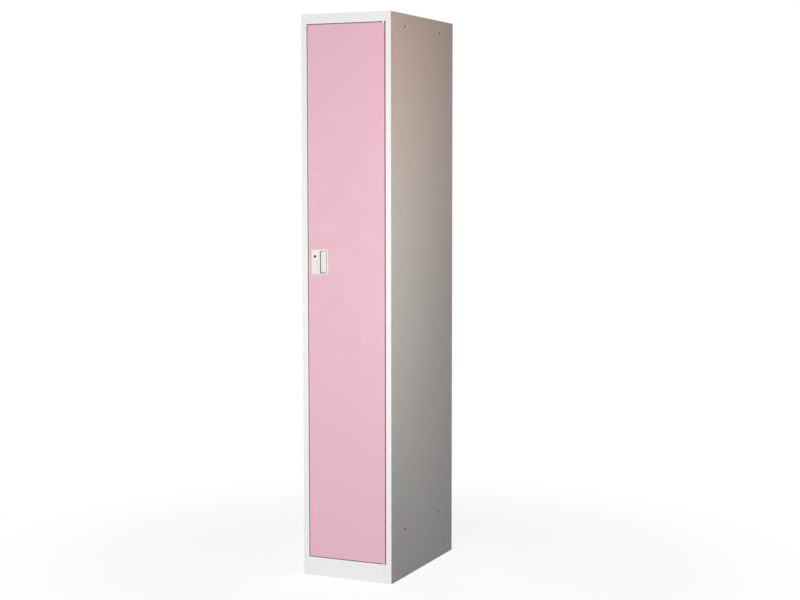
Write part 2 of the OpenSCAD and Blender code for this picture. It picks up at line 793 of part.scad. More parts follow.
module pull_plate() color(moulding) difference() {
    union() {
        translate([0, front_y, 0]) rotate([90, 0, 0]) linear_extrude(plate_rim)
            round_rect([plate_l, plate_lo], [plate_r, plate_hi], plate_corner);
        plate_body(front_y - eps, plate_back);
        translate([0, 0, pocket_lo]) linear_extrude(pocket_hi - pocket_lo) polygon([
            [pocket_l - ridge_w, plate_face], [pocket_l - ridge_flat, plate_face - ridge_h],
            [pocket_l, plate_face - ridge_h], [pocket_l, plate_face + 1], [pocket_l - ridge_w, plate_face + 1]
        ]);
    }
    block([pocket_l, plate_face - 2, pocket_lo], [pocket_r, pocket_y, pocket_hi]);
    rod_y(lock_x, lock_z, plate_face - 1, plate_back + 1, lock_r + fit);
    block(
        [cut_l + plate_in + plate_wall, front_y + plate_wall, cut_lo + plate_in + plate_wall],
        [pocket_l - plate_wall, plate_back + 1, cut_hi - plate_in - plate_wall]
    );
    rod_y(lock_x, lock_z, front_y + plate_wall, plate_back + 1, lock_nut_r + nut_room);
    rod_z(lever_px, lever_py, pocket_lo - pin_end, pocket_hi + pin_end, lever_pin_r + fit);
}

// Snap clips that hold the moulding behind the door skin
module plate_clips() color(steel)
    for (z = clip_zs, s = [-1, 1]) {
        x = s < 0 ? cut_l + plate_in : cut_r - plate_in;
        block(
            [min(x, x + s * plate_clip_w), front_y + door_t, z - plate_clip_h / 2],
            [max(x, x + s * plate_clip_w), front_y + door_t + plate_clip_t, z + plate_clip_h / 2]
        );
    }

module lever_pin() color(steel)
    rod_z(lever_px, lever_py, pocket_lo - pin_end, pocket_hi + pin_end, lever_pin_r);

// Middle line of the torsion spring: a leg to the pocket's floor, the turns, a leg behind the lever
function spring_path() = concat(
    [[lever_px + spring_r, pocket_y - spring_play, spring_lo]],
    [for (i = [0 : 12 * spring_turns])
        let (a = 30 * i)
        [lever_px + spring_r * cos(a), lever_py + spring_r * sin(a), spring_lo + spring_pitch * i / 12]],
    [[lever_px + spring_r * 0.6, lever_py + spring_r + 0.2, spring_lo + spring_turns * spring_pitch + 0.6],
     [lever_px - spring_leg, lever_py + 1.6, spring_lo + spring_turns * spring_pitch + 0.6]]
);

// One ring of a round wire at point i of a path that climbs slowly
function wire_ring(path, i, r, sides) =
    let (
        a = path[max(i - 1, 0)],
        b = path[min(i + 1, len(path) - 1)],
        u = (b - a) / norm(b - a),
        w = cross(u, [0, 0, 1]),
        across = w / norm(w),
        rise = cross(across, u)
    )
    [for (k = [0 : sides - 1]) path[i] + r * (cos(360 * k / sides) * across + sin(360 * k / sides) * rise)];

// A round wire along a path
module wire(path, r, sides = 8) {
    n = len(path);
    points = [for (i = [0 : n - 1], p = wire_ring(path, i, r, sides)) p];
    walls = [for (i = [0 : n - 2], k = [0 : sides - 1])
        let (a = i * sides + k, b = i * sides + (k + 1) % sides)
        each [[a, b, b + sides], [a, b + sides, a + sides]]];
    ends = [[for (k = [sides - 1 : -1 : 0]) k], [for (k = [0 : sides - 1]) (n - 1) * sides + k]];
    polyhedron(points, concat(walls, ends));
}

module lever_spring() color(steel) wire(spring_path(), spring_wire / 2);

module pull_lever() color(moulding) difference() {
    translate([0, 0, lever_lo]) linear_extrude(lever_hi - lever_lo) {
        hull() {
            translate([lever_px, lever_py]) circle(r = knuckle_r, $fn = 32);
            translate([neck_x, neck_y]) circle(r = neck_r, $fn = 32);
            translate([cap_x, cap_y]) circle(r = cap_r, $fn = 32);
        }
        hull() {
            translate([neck_x, neck_y]) circle(r = neck_r, $fn = 32);
            translate([lever_l + lever_tip_r, plate_face - lever_nose + lever_tip_r])
                circle(r = lever_tip_r, $fn = 32);
        }
        hull() {
            translate([lever_l + lever_tip_r, plate_face - lever_nose + lever_tip_r])
                circle(r = lever_tip_r, $fn = 32);
            translate([hook_x, plate_face + lever_hook + 1]) circle(r = hook_r, $fn = 32);
        }
    }
    rod_z(lever_px, lever_py, lever_lo - 1, lever_hi + 1, lever_pin_r + run_play);
    block(
        [lever_px - knuckle_r - 2, lever_py - knuckle_r + 0.6, plate_z - spring_slot],
        [lever_px + knuckle_r + 1, lever_py + knuckle_r + 1, plate_z + spring_slot]
    );
}

module lock_housing() color(zinc) difference() {
    rod_y(lock_x, lock_z, lock_face, housing_end, lock_r);
    rod_y(lock_x, lock_z, lock_face - 1, housing_end + 1, plug_r + run_play);
}

module lock_nut() color(steel) difference() {
    rod_y(lock_x, lock_z, front_y + plate_wall, front_y + plate_wall + lock_nut_t, lock_nut_r, 6);
    rod_y(lock_x, lock_z, front_y, front_y + 9, lock_r + fit);
}

// Turning plug with its keyway and a square tail for the cam
module lock_plug() color(zinc) difference() {
    union() {
        rod_y(lock_x, lock_z, lock_face + plug_in, housing_end, plug_r);
        block(
            [lock_x - tail_half, housing_end, lock_z - tail_half],
            [lock_x + tail_half, cam_y0 + cam_t, lock_z + tail_half]
        );
    }
    block(
        [lock_x - keyway_w / 2, lock_face - 1, lock_z - keyway_reach],
        [lock_x + keyway_w / 2, lock_face + keyway_d, lock_z + keyway_reach]
    );
    for (z = [lock_z - keyway_reach, lock_z + keyway_reach])
        rod_y(lock_x, z, lock_face - 1, lock_face + keyway_d, keyway_lobe_r);
    rod_y(lock_x, lock_z, cam_y0 - 3, cam_y0 + cam_t + 1, cam_screw_r);
}

module lock_cam() color(steel) difference() {
    union() {
        rod_y(lock_x, lock_z, cam_y0, cam_y0 + cam_t, cam_w / 2);
        block([lock_x - cam_w / 2, cam_y0, lock_z - cam_l], [lock_x + cam_w / 2, cam_y0 + cam_t, lock_z]);
    }
    block(
        [lock_x - tail_half - fit, cam_y0 - 1, lock_z - tail_half - fit],
        [lock_x + tail_half + fit, cam_y0 + cam_t + 1, lock_z + tail_half + fit]
    );
}

module cam_screw() color(steel) {
    rod_y(lock_x, lock_z, cam_y0 - 2, cam_y0 + cam_t, cam_screw_r - fit);
    rod_y(lock_x, lock_z, cam_y0 + cam_t, cam_y0 + cam_t + cam_head_t, cam_head_r);
}

module mirror_plate() block(
    [door_mid - mirror_w / 2, rib_y, mirror_z - mirror_h / 2],
    [door_mid + mirror_w / 2, rib_y + mirror_t, mirror_z + mirror_h / 2]
);

// Clip below or above the mirror, with its foot on the stiffener
module mirror_clip(x, z, way) {
    lip_y = rib_y + mirror_t;
    difference() {
        union() {
            block(
                [x - clip_w / 2, rib_y, min(z + way * seat, z + way * clip_foot)],
                [x + clip_w / 2, rib_y + clip_t, max(z + way * seat, z + way * clip_foot)]
            );
            block(
                [x - clip_w / 2, rib_y, min(z + way * seat, z + way * (seat + clip_t))],
                [x + clip_w / 2, lip_y + seat + clip_t, max(z + way * seat, z + way * (seat + clip_t))]
            );
            block(
                [x - clip_w / 2, lip_y + seat, min(z - way * clip_lip, z + way * (seat + clip_t))],
                [x + clip_w / 2, lip_y + seat + clip_t, max(z - way * clip_lip, z + way * (seat + clip_t))]
            );
        }
        rod_y(x, z + way * clip_screw, rib_y - 1, rib_y + 2, screw_r + fit);
    }
}

module mirror_clips() color(steel)
    for (x = clip_xs) {
        mirror_clip(x, mirror_z + mirror_h / 2, 1);
        mirror_clip(x, mirror_z - mirror_h / 2, -1);
    }

// Small screw driven into the stiffener, with its head at y
module screw_y(x, z, y) {
    rod_y(x, z, rib_y - screw_l, y, screw_r);
    rod_y(x, z, y, y + screw_head_t, screw_head_r);
}

module clip_screws() color(steel)
    for (x = clip_xs, s = [-1, 1])
        screw_y(x, mirror_z + s * (mirror_h / 2 + clip_screw), rib_y + clip_t);

module towel_brackets() color(steel)
    for (x = towel_arm_x) difference() {
        union() {
            block(
                [x - towel_foot_w / 2, rib_y, towel_z - towel_foot_h / 2],
                [x + towel_foot_w / 2, rib_y + towel_foot_t, towel_z + towel_foot_h / 2]
            );
            block(
                [x - towel_arm_t / 2, rib_y, towel_z - towel_eye_r],
                [x + towel_arm_t / 2, towel_y, towel_z + towel_eye_r]
            );
            rod_x(towel_y, towel_z, x - towel_arm_t / 2, x + towel_arm_t / 2, towel_eye_r);
        }
        rod_x(towel_y, towel_z, x - 5, x + 5, towel_r + fit);
        for (s = [-1, 1]) rod_y(x, towel_z + s * towel_screw, rib_y - 1, rib_y + 3, screw_r + fit);
    }

module towel_screws() color(steel)
    for (x = towel_arm_x, s = [-1, 1]) screw_y(x, towel_z + s * towel_screw, rib_y + towel_foot_t);

module towel_rail() color(steel)
    rod_x(towel_y, towel_z, door_mid - towel_l / 2, door_mid + towel_l / 2, towel_r);

module towel_rail_knobs() color(nylon)
    for (s = [-1, 1]) {
        x = door_mid + s * towel_l / 2;
        difference() {
            rod_x(
                towel_y, towel_z,
                min(x - s * (knob_l - knob_cap), x + s * knob_cap),
                max(x - s * (knob_l - knob_cap), x + s * knob_cap), knob_r
            );
            rod_x(towel_y, towel_z, min(x - s * knob_l, x), max(x - s * knob_l, x), towel_r + fit);
        }
    }

module drip_tray() color(black_rubber) difference() {
    translate([0, 0, floor_z]) linear_extrude(tray_h)
        round_rect(
            [tray_x - tray_w / 2, tray_y - tray_l / 2],
            [tray_x + tray_w / 2, tray_y + tray_l / 2], tray_corner
        );
    translate([0, 0, floor_z + tray_wall]) linear_extrude(tray_h) round_rect(
        [tray_x - tray_w / 2 + tray_wall, tray_y - tray_l / 2 + tray_wall],
        [tray_x + tray_w / 2 - tray_wall, tray_y + tray_l / 2 - tray_wall], tray_corner - tray_wall
    );
}

left_side_panel();
right_side_panel();
back_panel();
top_panel();
floor_panel();
header_rail();
plinth();
pivot_bracket_top();
pivot_bracket_bottom();
pivot_pin_top();
pivot_pin_bottom();
bracket_rivets();
door_buffers();
catch_yoke();
catch_magnet();
catch_rivets();
hat_shelf();
shelf_support_left();
shelf_support_right();
shelf_screws();
rail_bracket_left();
rail_bracket_right();
rail_screws();
rail_nuts();
hanger_rail();
rail_caps();
umbrella_ring();
door_skin();
door_stiffener();
door_pivot_plate_top();
door_pivot_plate_bottom();
pivot_bush_top();
pivot_bush_bottom();
pull_plate();
plate_clips();
lever_pin();
lever_spring();
lock_housing();
lock_nut();
color(silvered) mirror_plate();  // mirror
mirror_clips();
clip_screws();
towel_brackets();
towel_screws();
towel_rail();
towel_rail_knobs();
pull_lever();
lock_plug();
lock_cam();
cam_screw();
drip_tray();
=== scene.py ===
"""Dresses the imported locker: softened sheet metal, fittings, finishes, studio and camera.

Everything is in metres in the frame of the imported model: Z is up and the front faces -Y.
"""

from __future__ import annotations

import functools
import logging
import math
from dataclasses import dataclass, field
from enum import Enum
from typing import Callable, ClassVar, Sequence, Union

import bmesh
import bpy
from mathutils import Matrix, Quaternion, Vector


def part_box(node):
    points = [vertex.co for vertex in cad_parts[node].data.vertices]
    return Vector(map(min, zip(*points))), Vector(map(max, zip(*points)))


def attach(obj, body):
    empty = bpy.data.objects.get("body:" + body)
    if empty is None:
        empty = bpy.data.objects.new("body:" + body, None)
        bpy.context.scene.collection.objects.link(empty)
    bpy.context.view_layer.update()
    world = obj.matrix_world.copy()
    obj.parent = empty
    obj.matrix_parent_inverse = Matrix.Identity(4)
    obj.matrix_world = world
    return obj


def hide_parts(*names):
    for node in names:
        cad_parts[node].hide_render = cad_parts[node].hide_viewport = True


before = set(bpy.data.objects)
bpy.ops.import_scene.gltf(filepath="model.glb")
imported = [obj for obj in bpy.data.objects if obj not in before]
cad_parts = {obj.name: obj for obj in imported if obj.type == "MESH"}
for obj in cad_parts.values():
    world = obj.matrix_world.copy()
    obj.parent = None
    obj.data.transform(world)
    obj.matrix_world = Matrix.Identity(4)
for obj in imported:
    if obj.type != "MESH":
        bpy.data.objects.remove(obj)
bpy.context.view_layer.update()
MM = 0.001
JOIN_WITHIN = 2e-6
FLAT_WITHIN = math.radians(0.5)
WIDE_FACE_PULL = 60
UP = Vector((0.0, 0.0, 1.0))
FRONT = Vector((0.0, -1.0, 0.0))
BACK = Vector((0.0, 1.0, 0.0))
METAL = {"Metallic": 1.0}
log = logging.getLogger("locker")

Socket = bpy.types.NodeSocket
Node = bpy.types.Node
Piece = bpy.types.Object
Mesh = bmesh.types.BMesh
Colour = tuple[float, float, float]
Value = Union[Socket, float, int, bool, str, tuple]
Look = tuple[Value, Value, Value]
Span = tuple[Vector, Vector]


class Body(Enum):
    """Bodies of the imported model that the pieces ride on."""

    CABINET = "cabinet"
    DOOR = "door"
    LEVER = "pull_lever"
    LOCK = "lock"
    TRAY = "drip_tray"


class Slot(Enum):
    """Material slots of the record."""

    FRAME = "frame_paint"
    DOOR = "door_paint"
    MOULDING = "moulding"
    ZINC = "zinc_steel"
    CHROME = "chrome"
    LOCK = "lock_metal"
    NYLON = "nylon"
    RUBBER = "buffer_rubber"
    FERRITE = "ferrite"
    MIRROR = "mirror"
    TRAY = "tray_plastic"


class Graph:
    """Adds linked nodes to a node tree."""

    def __init__(self, tree: bpy.types.NodeTree) -> None:
        """Keep the tree, and leave open which position its patterns read."""
        self.tree = tree
        self.where: Socket | None = None

    def feed(self, socket: Socket, value: Value) -> None:
        """Link a socket to another one, or set its value.

        Args:
            socket: The input.
            value: A socket or a plain value; a colour may come without its alpha.
        """
        if isinstance(value, Socket):
            self.tree.links.new(value, socket)
        elif socket.type == "RGBA" and len(value) == 3:
            socket.default_value = (*value, 1.0)
        else:
            socket.default_value = value

    def add(self, kind: str, feeds: dict | None = None, **settings: object) -> Node:
        """Add one node.

        Args:
            kind: Blender's name of the node type.
            feeds: Values or sockets for its inputs, by name or index.
            **settings: Properties of the node.

        Returns:
            The node.
        """
        node = self.tree.nodes.new(kind)
        for name, value in settings.items():
            setattr(node, name, value)
        for key, value in (feeds or {}).items():
            self.feed(node.inputs[key], value)
        return node

    def math(self, operation: str, *values: Value) -> Socket:
        """Return the result of one arithmetic step."""
        return self.add("ShaderNodeMath", dict(enumerate(values)), operation=operation).outputs[0]

    def times(self, *values: Value) -> Socket:
        """Return the product of the values."""
        return functools.reduce(functools.partial(self.math, "MULTIPLY"), values)

    def plus(self, first: Value, second: Value) -> Socket:
        """Return the sum of two values."""
        return self.math("ADD", first, second)

    def minus(self, first: Value, second: Value) -> Socket:
        """Return the difference of two values."""
        return self.math("SUBTRACT", first, second)

    def length(self, first: Value, second: Value) -> Socket:
        """Return the length of a plane vector."""
        return self.math("SQRT", self.plus(self.times(first, first), self.times(second, second)))

    def axes(self, vector: Value) -> bpy.types.NodeOutputs:
        """Return the X, Y and Z of a vector, by name."""
        return self.add("ShaderNodeSeparateXYZ", {0: vector}).outputs

    def facing(self) -> bpy.types.NodeOutputs:
        """Return the X, Y and Z of the direction that the surface looks in."""
        return self.axes(self.add("ShaderNodeNewGeometry").outputs["Normal"])

    def rim(self) -> Socket:
        """Return the mark that softened edges carry."""
        return self.add("ShaderNodeAttribute", attribute_name="rim").outputs["Fac"]

    def steps(self, value: Value, lo: float, hi: float, out_lo: Value = 0.0, out_hi: Value = 1.0) -> Socket:
        """Map a value smoothly from one range to another.

        Args:
            value: The socket to map.
            lo: Start of the source range.
            hi: End of the source range.
            out_lo: Result at lo.
            out_hi: Result at hi.

        Returns:
            The mapped value's socket.
        """
        feeds = {"Value": value, "From Min": lo, "From Max": hi, "To Min": out_lo, "To Max": out_hi}
        return self.add("ShaderNodeMapRange", feeds, interpolation_type="SMOOTHSTEP").outputs["Result"]

    def noise(self, size: Value, detail: float = 2.0, rough: float = 0.5,
              where: Socket | None = None) -> Socket:
        """Make a noise pattern.

        Args:
            size: Width of its blotches.
            detail: Number of finer layers.
            rough: Strength of the finer layers.
            where: The position it reads, if not the graph's own.

        Returns:
            The pattern's value.
        """
        feeds = {"Vector": self.where if where is None else where, "Scale": self.math("DIVIDE", 1.0, size),
                 "Detail": detail, "Roughness": rough}
        return self.add("ShaderNodeTexNoise", feeds).outputs[0]

    def blend(self, mask: Value, first: Value, second: Value) -> Socket:
        """Return a colour that goes from first to second as the mask goes from 0 to 1."""
        return self.add("ShaderNodeMix", {0: mask, 6: first, 7: second}, data_type="RGBA").outputs[2]

    def effect(self, kind: Effect, **feeds: Value) -> Socket:
        """Place a shared effect and return its output."""
        group = effect_tree(kind)
        return self.add("ShaderNodeGroup", {"Vector": self.where, **feeds}, node_tree=group).outputs[0]


class Effect(Enum):
    """Surface effects that several finishes share."""

    PEEL = "coat_peel"
    TONE = "colour_tone"
    WEAR = "rim_wear"
    DUST = "settled_dust"
    GRAIN = "moulded_grain"
    TURNED = "turned_lines"
    WELDS = "spot_welds"
    SCUFFS = "fine_scuffs"


def open_group(effect: Effect, result: str, **ins: float | None) -> tuple[Graph, dict[str, Socket], Socket]:
    """Make an empty shader group that reads a position.

    Args:
        effect: The effect the group is for.
        result: Name of its one output, which is a colour if it is called so.
        **ins: Default of each numeric input; None makes a colour input.

    Returns:
        The group's graph, its inputs by name, and the socket its result goes into.
    """
    tree = bpy.data.node_groups.new(effect.value, "ShaderNodeTree")
    tree.interface.new_socket("Vector", in_out="INPUT", socket_type="NodeSocketVector")
    for name, value in ins.items():
        kind = "NodeSocketColor" if value is None else "NodeSocketFloat"
        socket = tree.interface.new_socket(name, in_out="INPUT", socket_type=kind)
        if value is not None:
            socket.default_value = value
    kind = "NodeSocketColor" if result == "Colour" else "NodeSocketFloat"
    tree.interface.new_socket(result, in_out="OUTPUT", socket_type=kind)
    graph = Graph(tree)
    sockets = {s.name: s for s in graph.add("NodeGroupInput").outputs if s.name}
    graph.where = sockets["Vector"]
    return graph, sockets, graph.add("NodeGroupOutput").inputs[0]


def coat_peel() -> None:
    """Shallow dimples of a powder coat, as a height in metres."""
    g, i, out = open_group(Effect.PEEL, "Height", Size=1.6 * MM, Depth=0.006 * MM)
    finer, share = 4.3, 0.22
    fine = g.times(g.noise(g.math("DIVIDE", i["Size"], finer)), share)
    g.feed(out, g.times(g.plus(g.noise(i["Size"], detail=1.5), fine), i["Depth"]))


def colour_tone() -> None:
    """A colour whose lightness drifts a little over wide patches and in fine speckles."""
    g, i, out = open_group(Effect.TONE, "Colour", Colour=None, Patch=0.3, Amount=0.02)
    speckle, share = 0.9 * MM, 0.35
    wide = g.minus(g.noise(i["Patch"], detail=3.0), 0.5)
    fine = g.times(g.minus(g.noise(speckle, detail=1.0), 0.5), share)
    gain = g.math("MULTIPLY_ADD", g.plus(wide, fine), g.times(i["Amount"], 2.0), 1.0)
    scaled = g.add("ShaderNodeVectorMath", {0: i["Colour"], "Scale": gain}, operation="SCALE")
    g.feed(out, scaled.outputs[0])


def rim_wear() -> None:
    """Broken thin wear along the softened edges, from the rim attribute."""
    g, i, out = open_group(Effect.WEAR, "Mask", Amount=0.3)
    spots = g.steps(g.noise(9 * MM, detail=4.0, rough=0.6), lo=0.52, hi=0.72)
    g.feed(out, g.times(g.rim(), spots, i["Amount"]))


def settled_dust() -> None:
    """Thin dust on faces that look up, and a scuffed band near the floor."""
    g, i, out = open_group(Effect.DUST, "Mask", Amount=0.2, Band=0.02)
    band_share = 0.7
    flat = g.steps(g.facing()["Z"], lo=0.75, hi=1.0)
    height = g.math("DIVIDE", g.axes(g.where)["Z"], i["Band"])
    low = g.times(g.steps(height, lo=0.0, hi=1.0, out_lo=1.0, out_hi=0.0), band_share)
    cloud = g.steps(g.noise(60 * MM, detail=5.0, rough=0.6), lo=0.35, hi=0.7, out_lo=0.35)
    g.feed(out, g.times(g.math("MAXIMUM", flat, low), cloud, i["Amount"]))


def moulded_grain() -> None:
    """Spark-eroded grain of a mould, as a height in metres."""
    g, i, out = open_group(Effect.GRAIN, "Height", Size=0.4 * MM, Depth=0.008 * MM)
    coarser = 0.6
    feeds = {"Vector": g.where, "Scale": g.math("DIVIDE", 1.0, i["Size"])}
    cells = g.add("ShaderNodeTexVoronoi", feeds, feature="SMOOTH_F1").outputs["Distance"]
    sand = g.noise(g.math("DIVIDE", i["Size"], coarser), detail=3.0)
    g.feed(out, g.times(g.plus(cells, sand), i["Depth"]))


def turned_lines() -> None:
    """Concentric tool lines round the local Y axis, as a height in metres."""
    g, i, out = open_group(Effect.TURNED, "Height", Pitch=0.3 * MM, Depth=0.004 * MM)
    part = g.axes(g.where)
    feeds = {"W": g.math("DIVIDE", g.length(part["X"], part["Z"]), i["Pitch"]), "Scale": 1.0, "Detail": 2.0}
    lines = g.add("ShaderNodeTexNoise", feeds, noise_dimensions="1D").outputs[0]
    g.feed(out, g.times(lines, i["Depth"]))


def spot_welds() -> None:
    """Two rows of shallow spot welds on faces that look back, as a height in metres."""
    g, i, out = open_group(Effect.WELDS, "Height", Centre=0.0, Line=0.147, Pitch=0.09,
                           Radius=2.8 * MM, Depth=0.15 * MM)
    lip_at, lip_width, lip_share = 1.1, 0.25, 0.25
    part = g.axes(g.where)
    side = g.minus(g.math("ABSOLUTE", g.minus(part["X"], i["Centre"])), i["Line"])
    step = g.minus(g.math("FLOORED_MODULO", part["Z"], i["Pitch"]), g.times(i["Pitch"], 0.5))
    reach = g.math("DIVIDE", g.length(side, step), i["Radius"])
    dish = g.steps(reach, lo=0.55, hi=1.0)
    off_lip = g.math("ABSOLUTE", g.minus(reach, lip_at))
    lip = g.times(g.steps(off_lip, lo=0.0, hi=lip_width, out_lo=1.0, out_hi=0.0), lip_share)
    back = g.steps(g.facing()["Y"], lo=0.85, hi=0.95)
    g.feed(out, g.times(g.plus(dish, lip), i["Depth"], back))


def fine_scuffs() -> None:
    """Sparse fine scratches in two crossing directions, as a mask."""
    g, i, out = open_group(Effect.SCUFFS, "Mask", Length=0.02, Amount=0.3)
    axis, stretch, slimness = (0.3, 0.9, 0.2), (0.03, 1.0, 1.0), 40.0
    width = g.math("DIVIDE", i["Length"], slimness)
    marks = []
    for turn, shift in ((0.4, 0.0), (1.9, 7.3)):
        spun = g.add("ShaderNodeVectorRotate", {"Vector": g.where, "Axis": axis, "Angle": turn}).outputs[0]
        feeds = {0: spun, 1: stretch, 2: (shift, shift, shift)}
        moved = g.add("ShaderNodeVectorMath", feeds, operation="MULTIPLY_ADD").outputs[0]
        marks.append(g.steps(g.noise(width, detail=1.0, where=moved), lo=0.66, hi=0.74))
    g.feed(out, g.times(g.math("MAXIMUM", *marks), i["Amount"]))


EFFECTS: dict[Effect, Callable[[], None]] = {
    Effect.PEEL: coat_peel,
    Effect.TONE: colour_tone,
    Effect.WEAR: rim_wear,
    Effect.DUST: settled_dust,
    Effect.GRAIN: moulded_grain,
    Effect.TURNED: turned_lines,
    Effect.WELDS: spot_welds,
    Effect.SCUFFS: fine_scuffs,
}


def effect_tree(effect: Effect) -> bpy.types.NodeTree:
    """Return the shader group of an effect, built on first use.

    Args:
        effect: The effect.

    Returns:
        Its group.
    """
    if effect.value not in bpy.data.node_groups:
        EFFECTS[effect]()
    return bpy.data.node_groups[effect.value]


@dataclass(frozen=True)
class Finish:
    """A surface finish: its material, its slot in the record and how the material is built."""

    name: str
    slot: Slot
    colour: Colour
    roughness: float = 0.45
    levels: ClassVar[dict[str, float]] = {}

    def look(self, g: Graph) -> Look:
        """Return the base colour, the roughness and the relief's height in metres."""
        raise NotImplementedError

    def drift(self, g: Graph, spread: float, size: float) -> Socket:
        """Return a roughness that wanders by spread over blotches of the given size."""
        return g.steps(g.noise(size, detail=4.0), lo=0.3, hi=0.7,
                       out_lo=self.roughness - spread, out_hi=self.roughness + spread)

    def tone(self, g: Graph, patch: float, amount: float) -> Socket:
        """Return the finish's colour with a slight drift."""
        return g.effect(Effect.TONE, Colour=self.colour, Patch=patch, Amount=amount)

    def material(self) -> bpy.types.Material:
        """Return the material, built on first use.

        Returns:
            The material.
        """
        made = bpy.data.materials.get("finish_" + self.name)
        if made:
            return made
        made = bpy.data.materials.new("finish_" + self.name)
        made.use_nodes = True
        made.diffuse_color = (*self.colour, 1.0)
        made.node_tree.nodes.clear()
        g = Graph(made.node_tree)
        g.where = g.add("ShaderNodeTexCoord").outputs["Object"]
        colour, rough, height = self.look(g)
        bump = g.add("ShaderNodeBump", {"Height": height, "Distance": 1.0, "Strength": 1.0})
        feeds = {"Base Color": colour, "Roughness": rough, "Normal": bump.outputs[0], **self.levels}
        shader = g.add("ShaderNodeBsdfPrincipled", feeds)
        g.add("ShaderNodeOutputMaterial", {"Surface": shader.outputs[0]})
        return made


@dataclass(frozen=True)
class PowderCoat(Finish):
    """Satin powder coat on sheet steel, with a faint peel, thin rim wear and settled dust."""

    peel: float = 5e-6
    mottle: float = 0.012
    wear: float = 0.10
    dust: float = 0.05
    dulled: float = 0.6
    primer: Colour = (0.42, 0.40, 0.38)
    dirt: Colour = (0.50, 0.47, 0.43)
    welds: dict[str, float] | None = None
    levels: ClassVar[dict[str, float]] = {"Specular IOR Level": 0.32}

    def look(self, g: Graph) -> Look:
        """Join peel, tone, wear and dust, and the welds where the coat has them.

        Args:
            g: The material's graph.

        Returns:
            Base colour, roughness and relief.
        """
        worn = g.effect(Effect.WEAR, Amount=self.wear)
        dusty = g.effect(Effect.DUST, Amount=self.dust)
        coat = g.blend(worn, self.tone(g, patch=0.4, amount=self.mottle), self.primer)
        rough = g.plus(self.drift(g, spread=0.04, size=0.05), g.times(dusty, self.dulled))
        height = g.effect(Effect.PEEL, Depth=self.peel)
        if self.welds:
            height = g.plus(height, g.effect(Effect.WELDS, **self.welds))
        return g.blend(dusty, coat, self.dirt), rough, height


@dataclass(frozen=True)
class Moulding(Finish):
    """Injection moulding with the fine grain of its mould."""

    grain: float = 5e-6
    cell: float = 0.45 * MM
    rim_tint: Colour = (0.70, 0.69, 0.64)
    dirt: Colour = (0.45, 0.43, 0.40)

    def look(self, g: Graph) -> Look:
        """Join grain, tone, rubbed rims and dust.

        Args:
            g: The material's graph.

        Returns:
            Base colour, roughness and relief.
        """
        rubbed = g.effect(Effect.WEAR, Amount=0.25)
        dusty = g.effect(Effect.DUST, Amount=0.10, Band=1 * MM)
        base = g.blend(rubbed, self.tone(g, patch=0.05, amount=0.012), self.rim_tint)
        height = g.effect(Effect.GRAIN, Size=self.cell, Depth=self.grain)
        return g.blend(dusty, base, self.dirt), self.drift(g, spread=0.06, size=0.012), height


@dataclass(frozen=True)
class ZincPlate(Finish):
    """Bright zinc plating with cloudy passivation and fine scuffs."""

    tint: Colour = (0.66, 0.64, 0.56)
    bare: Colour = (0.80, 0.80, 0.80)
    cloud: float = 0.5
    scuffed: float = 0.2
    relief: float = 4e-6
    levels: ClassVar[dict[str, float]] = METAL

    def look(self, g: Graph) -> Look:
        """Join clouds and scuffs.

        Args:
            g: The material's graph.

        Returns:
            Base colour, roughness and relief.
        """
        cloud = g.times(g.steps(g.noise(8 * MM, detail=3.0), lo=0.35, hi=0.68), self.cloud)
        base = g.blend(cloud, self.tone(g, patch=0.02, amount=0.05), self.tint)
        scuff = g.effect(Effect.SCUFFS, Amount=0.5)
        rough = g.plus(self.drift(g, spread=0.08, size=0.004), g.times(scuff, self.scuffed))
        return g.blend(scuff, base, self.bare), rough, g.times(g.noise(0.5 * MM, detail=3.0), self.relief)


@dataclass(frozen=True)
class Chrome(Finish):
    """Polished chrome with faint hanger scuffs."""

    scuffed: float = 0.25
    relief: float = 2e-6
    levels: ClassVar[dict[str, float]] = METAL

    def look(self, g: Graph) -> Look:
        """Join tone and scuffs.

        Args:
            g: The material's graph.

        Returns:
            Base colour, roughness and relief.
        """
        scuff = g.effect(Effect.SCUFFS, Length=0.03, Amount=0.5)
        rough = g.plus(self.drift(g, spread=0.02, size=0.01), g.times(scuff, self.scuffed))
        return self.tone(g, patch=0.06, amount=0.02), rough, g.times(g.noise(3 * MM, detail=1.0), self.relief)


@dataclass(frozen=True)
class TurnedMetal(Finish):
    """Satin metal with the concentric lines of a lathe round one axis."""

    centre: tuple[float, float, float] = (0.0, 0.0, 0.0)
    bare: Colour = (0.32, 0.32, 0.32)
    levels: ClassVar[dict[str, float]] = METAL

    def look(self, g: Graph) -> Look:
        """Join scuffs and the turned lines, which are centred on the axis.

        Args:
            g: The material's graph.

        Returns:
            Base colour, roughness and relief.
        """
        shift = tuple(-c for c in self.centre)
        moved = g.add("ShaderNodeMapping", {"Vector": g.where, "Location": shift}).outputs[0]
        scuff = g.effect(Effect.SCUFFS, Length=0.01, Amount=0.3)
        colour = g.blend(scuff, self.tone(g, patch=0.004, amount=0.06), self.bare)
        return colour, self.drift(g, spread=0.07, size=0.003), g.effect(Effect.TURNED, Vector=moved)


@dataclass(frozen=True)
class DarkMatter(Finish):
    """Matt dark rubber or ferrite with a powdery grain."""

    cell: float = 0.5 * MM
    grain: float = 2e-5
    bloom: Colour = (0.10, 0.10, 0.10)

    def look(self, g: Graph) -> Look:
        """Join grain and pale bloom.

        Args:
            g: The material's graph.

        Returns:
            Base colour, roughness and relief.
        """
        haze = g.steps(g.noise(4 * MM, detail=4.0), lo=0.4, hi=0.75, out_hi=0.6)
        colour = g.blend(haze, self.tone(g, patch=0.003, amount=0.15), self.bloom)
        height = g.effect(Effect.GRAIN, Size=self.cell, Depth=self.grain)
        return colour, self.drift(g, spread=0.07, size=0.004), height


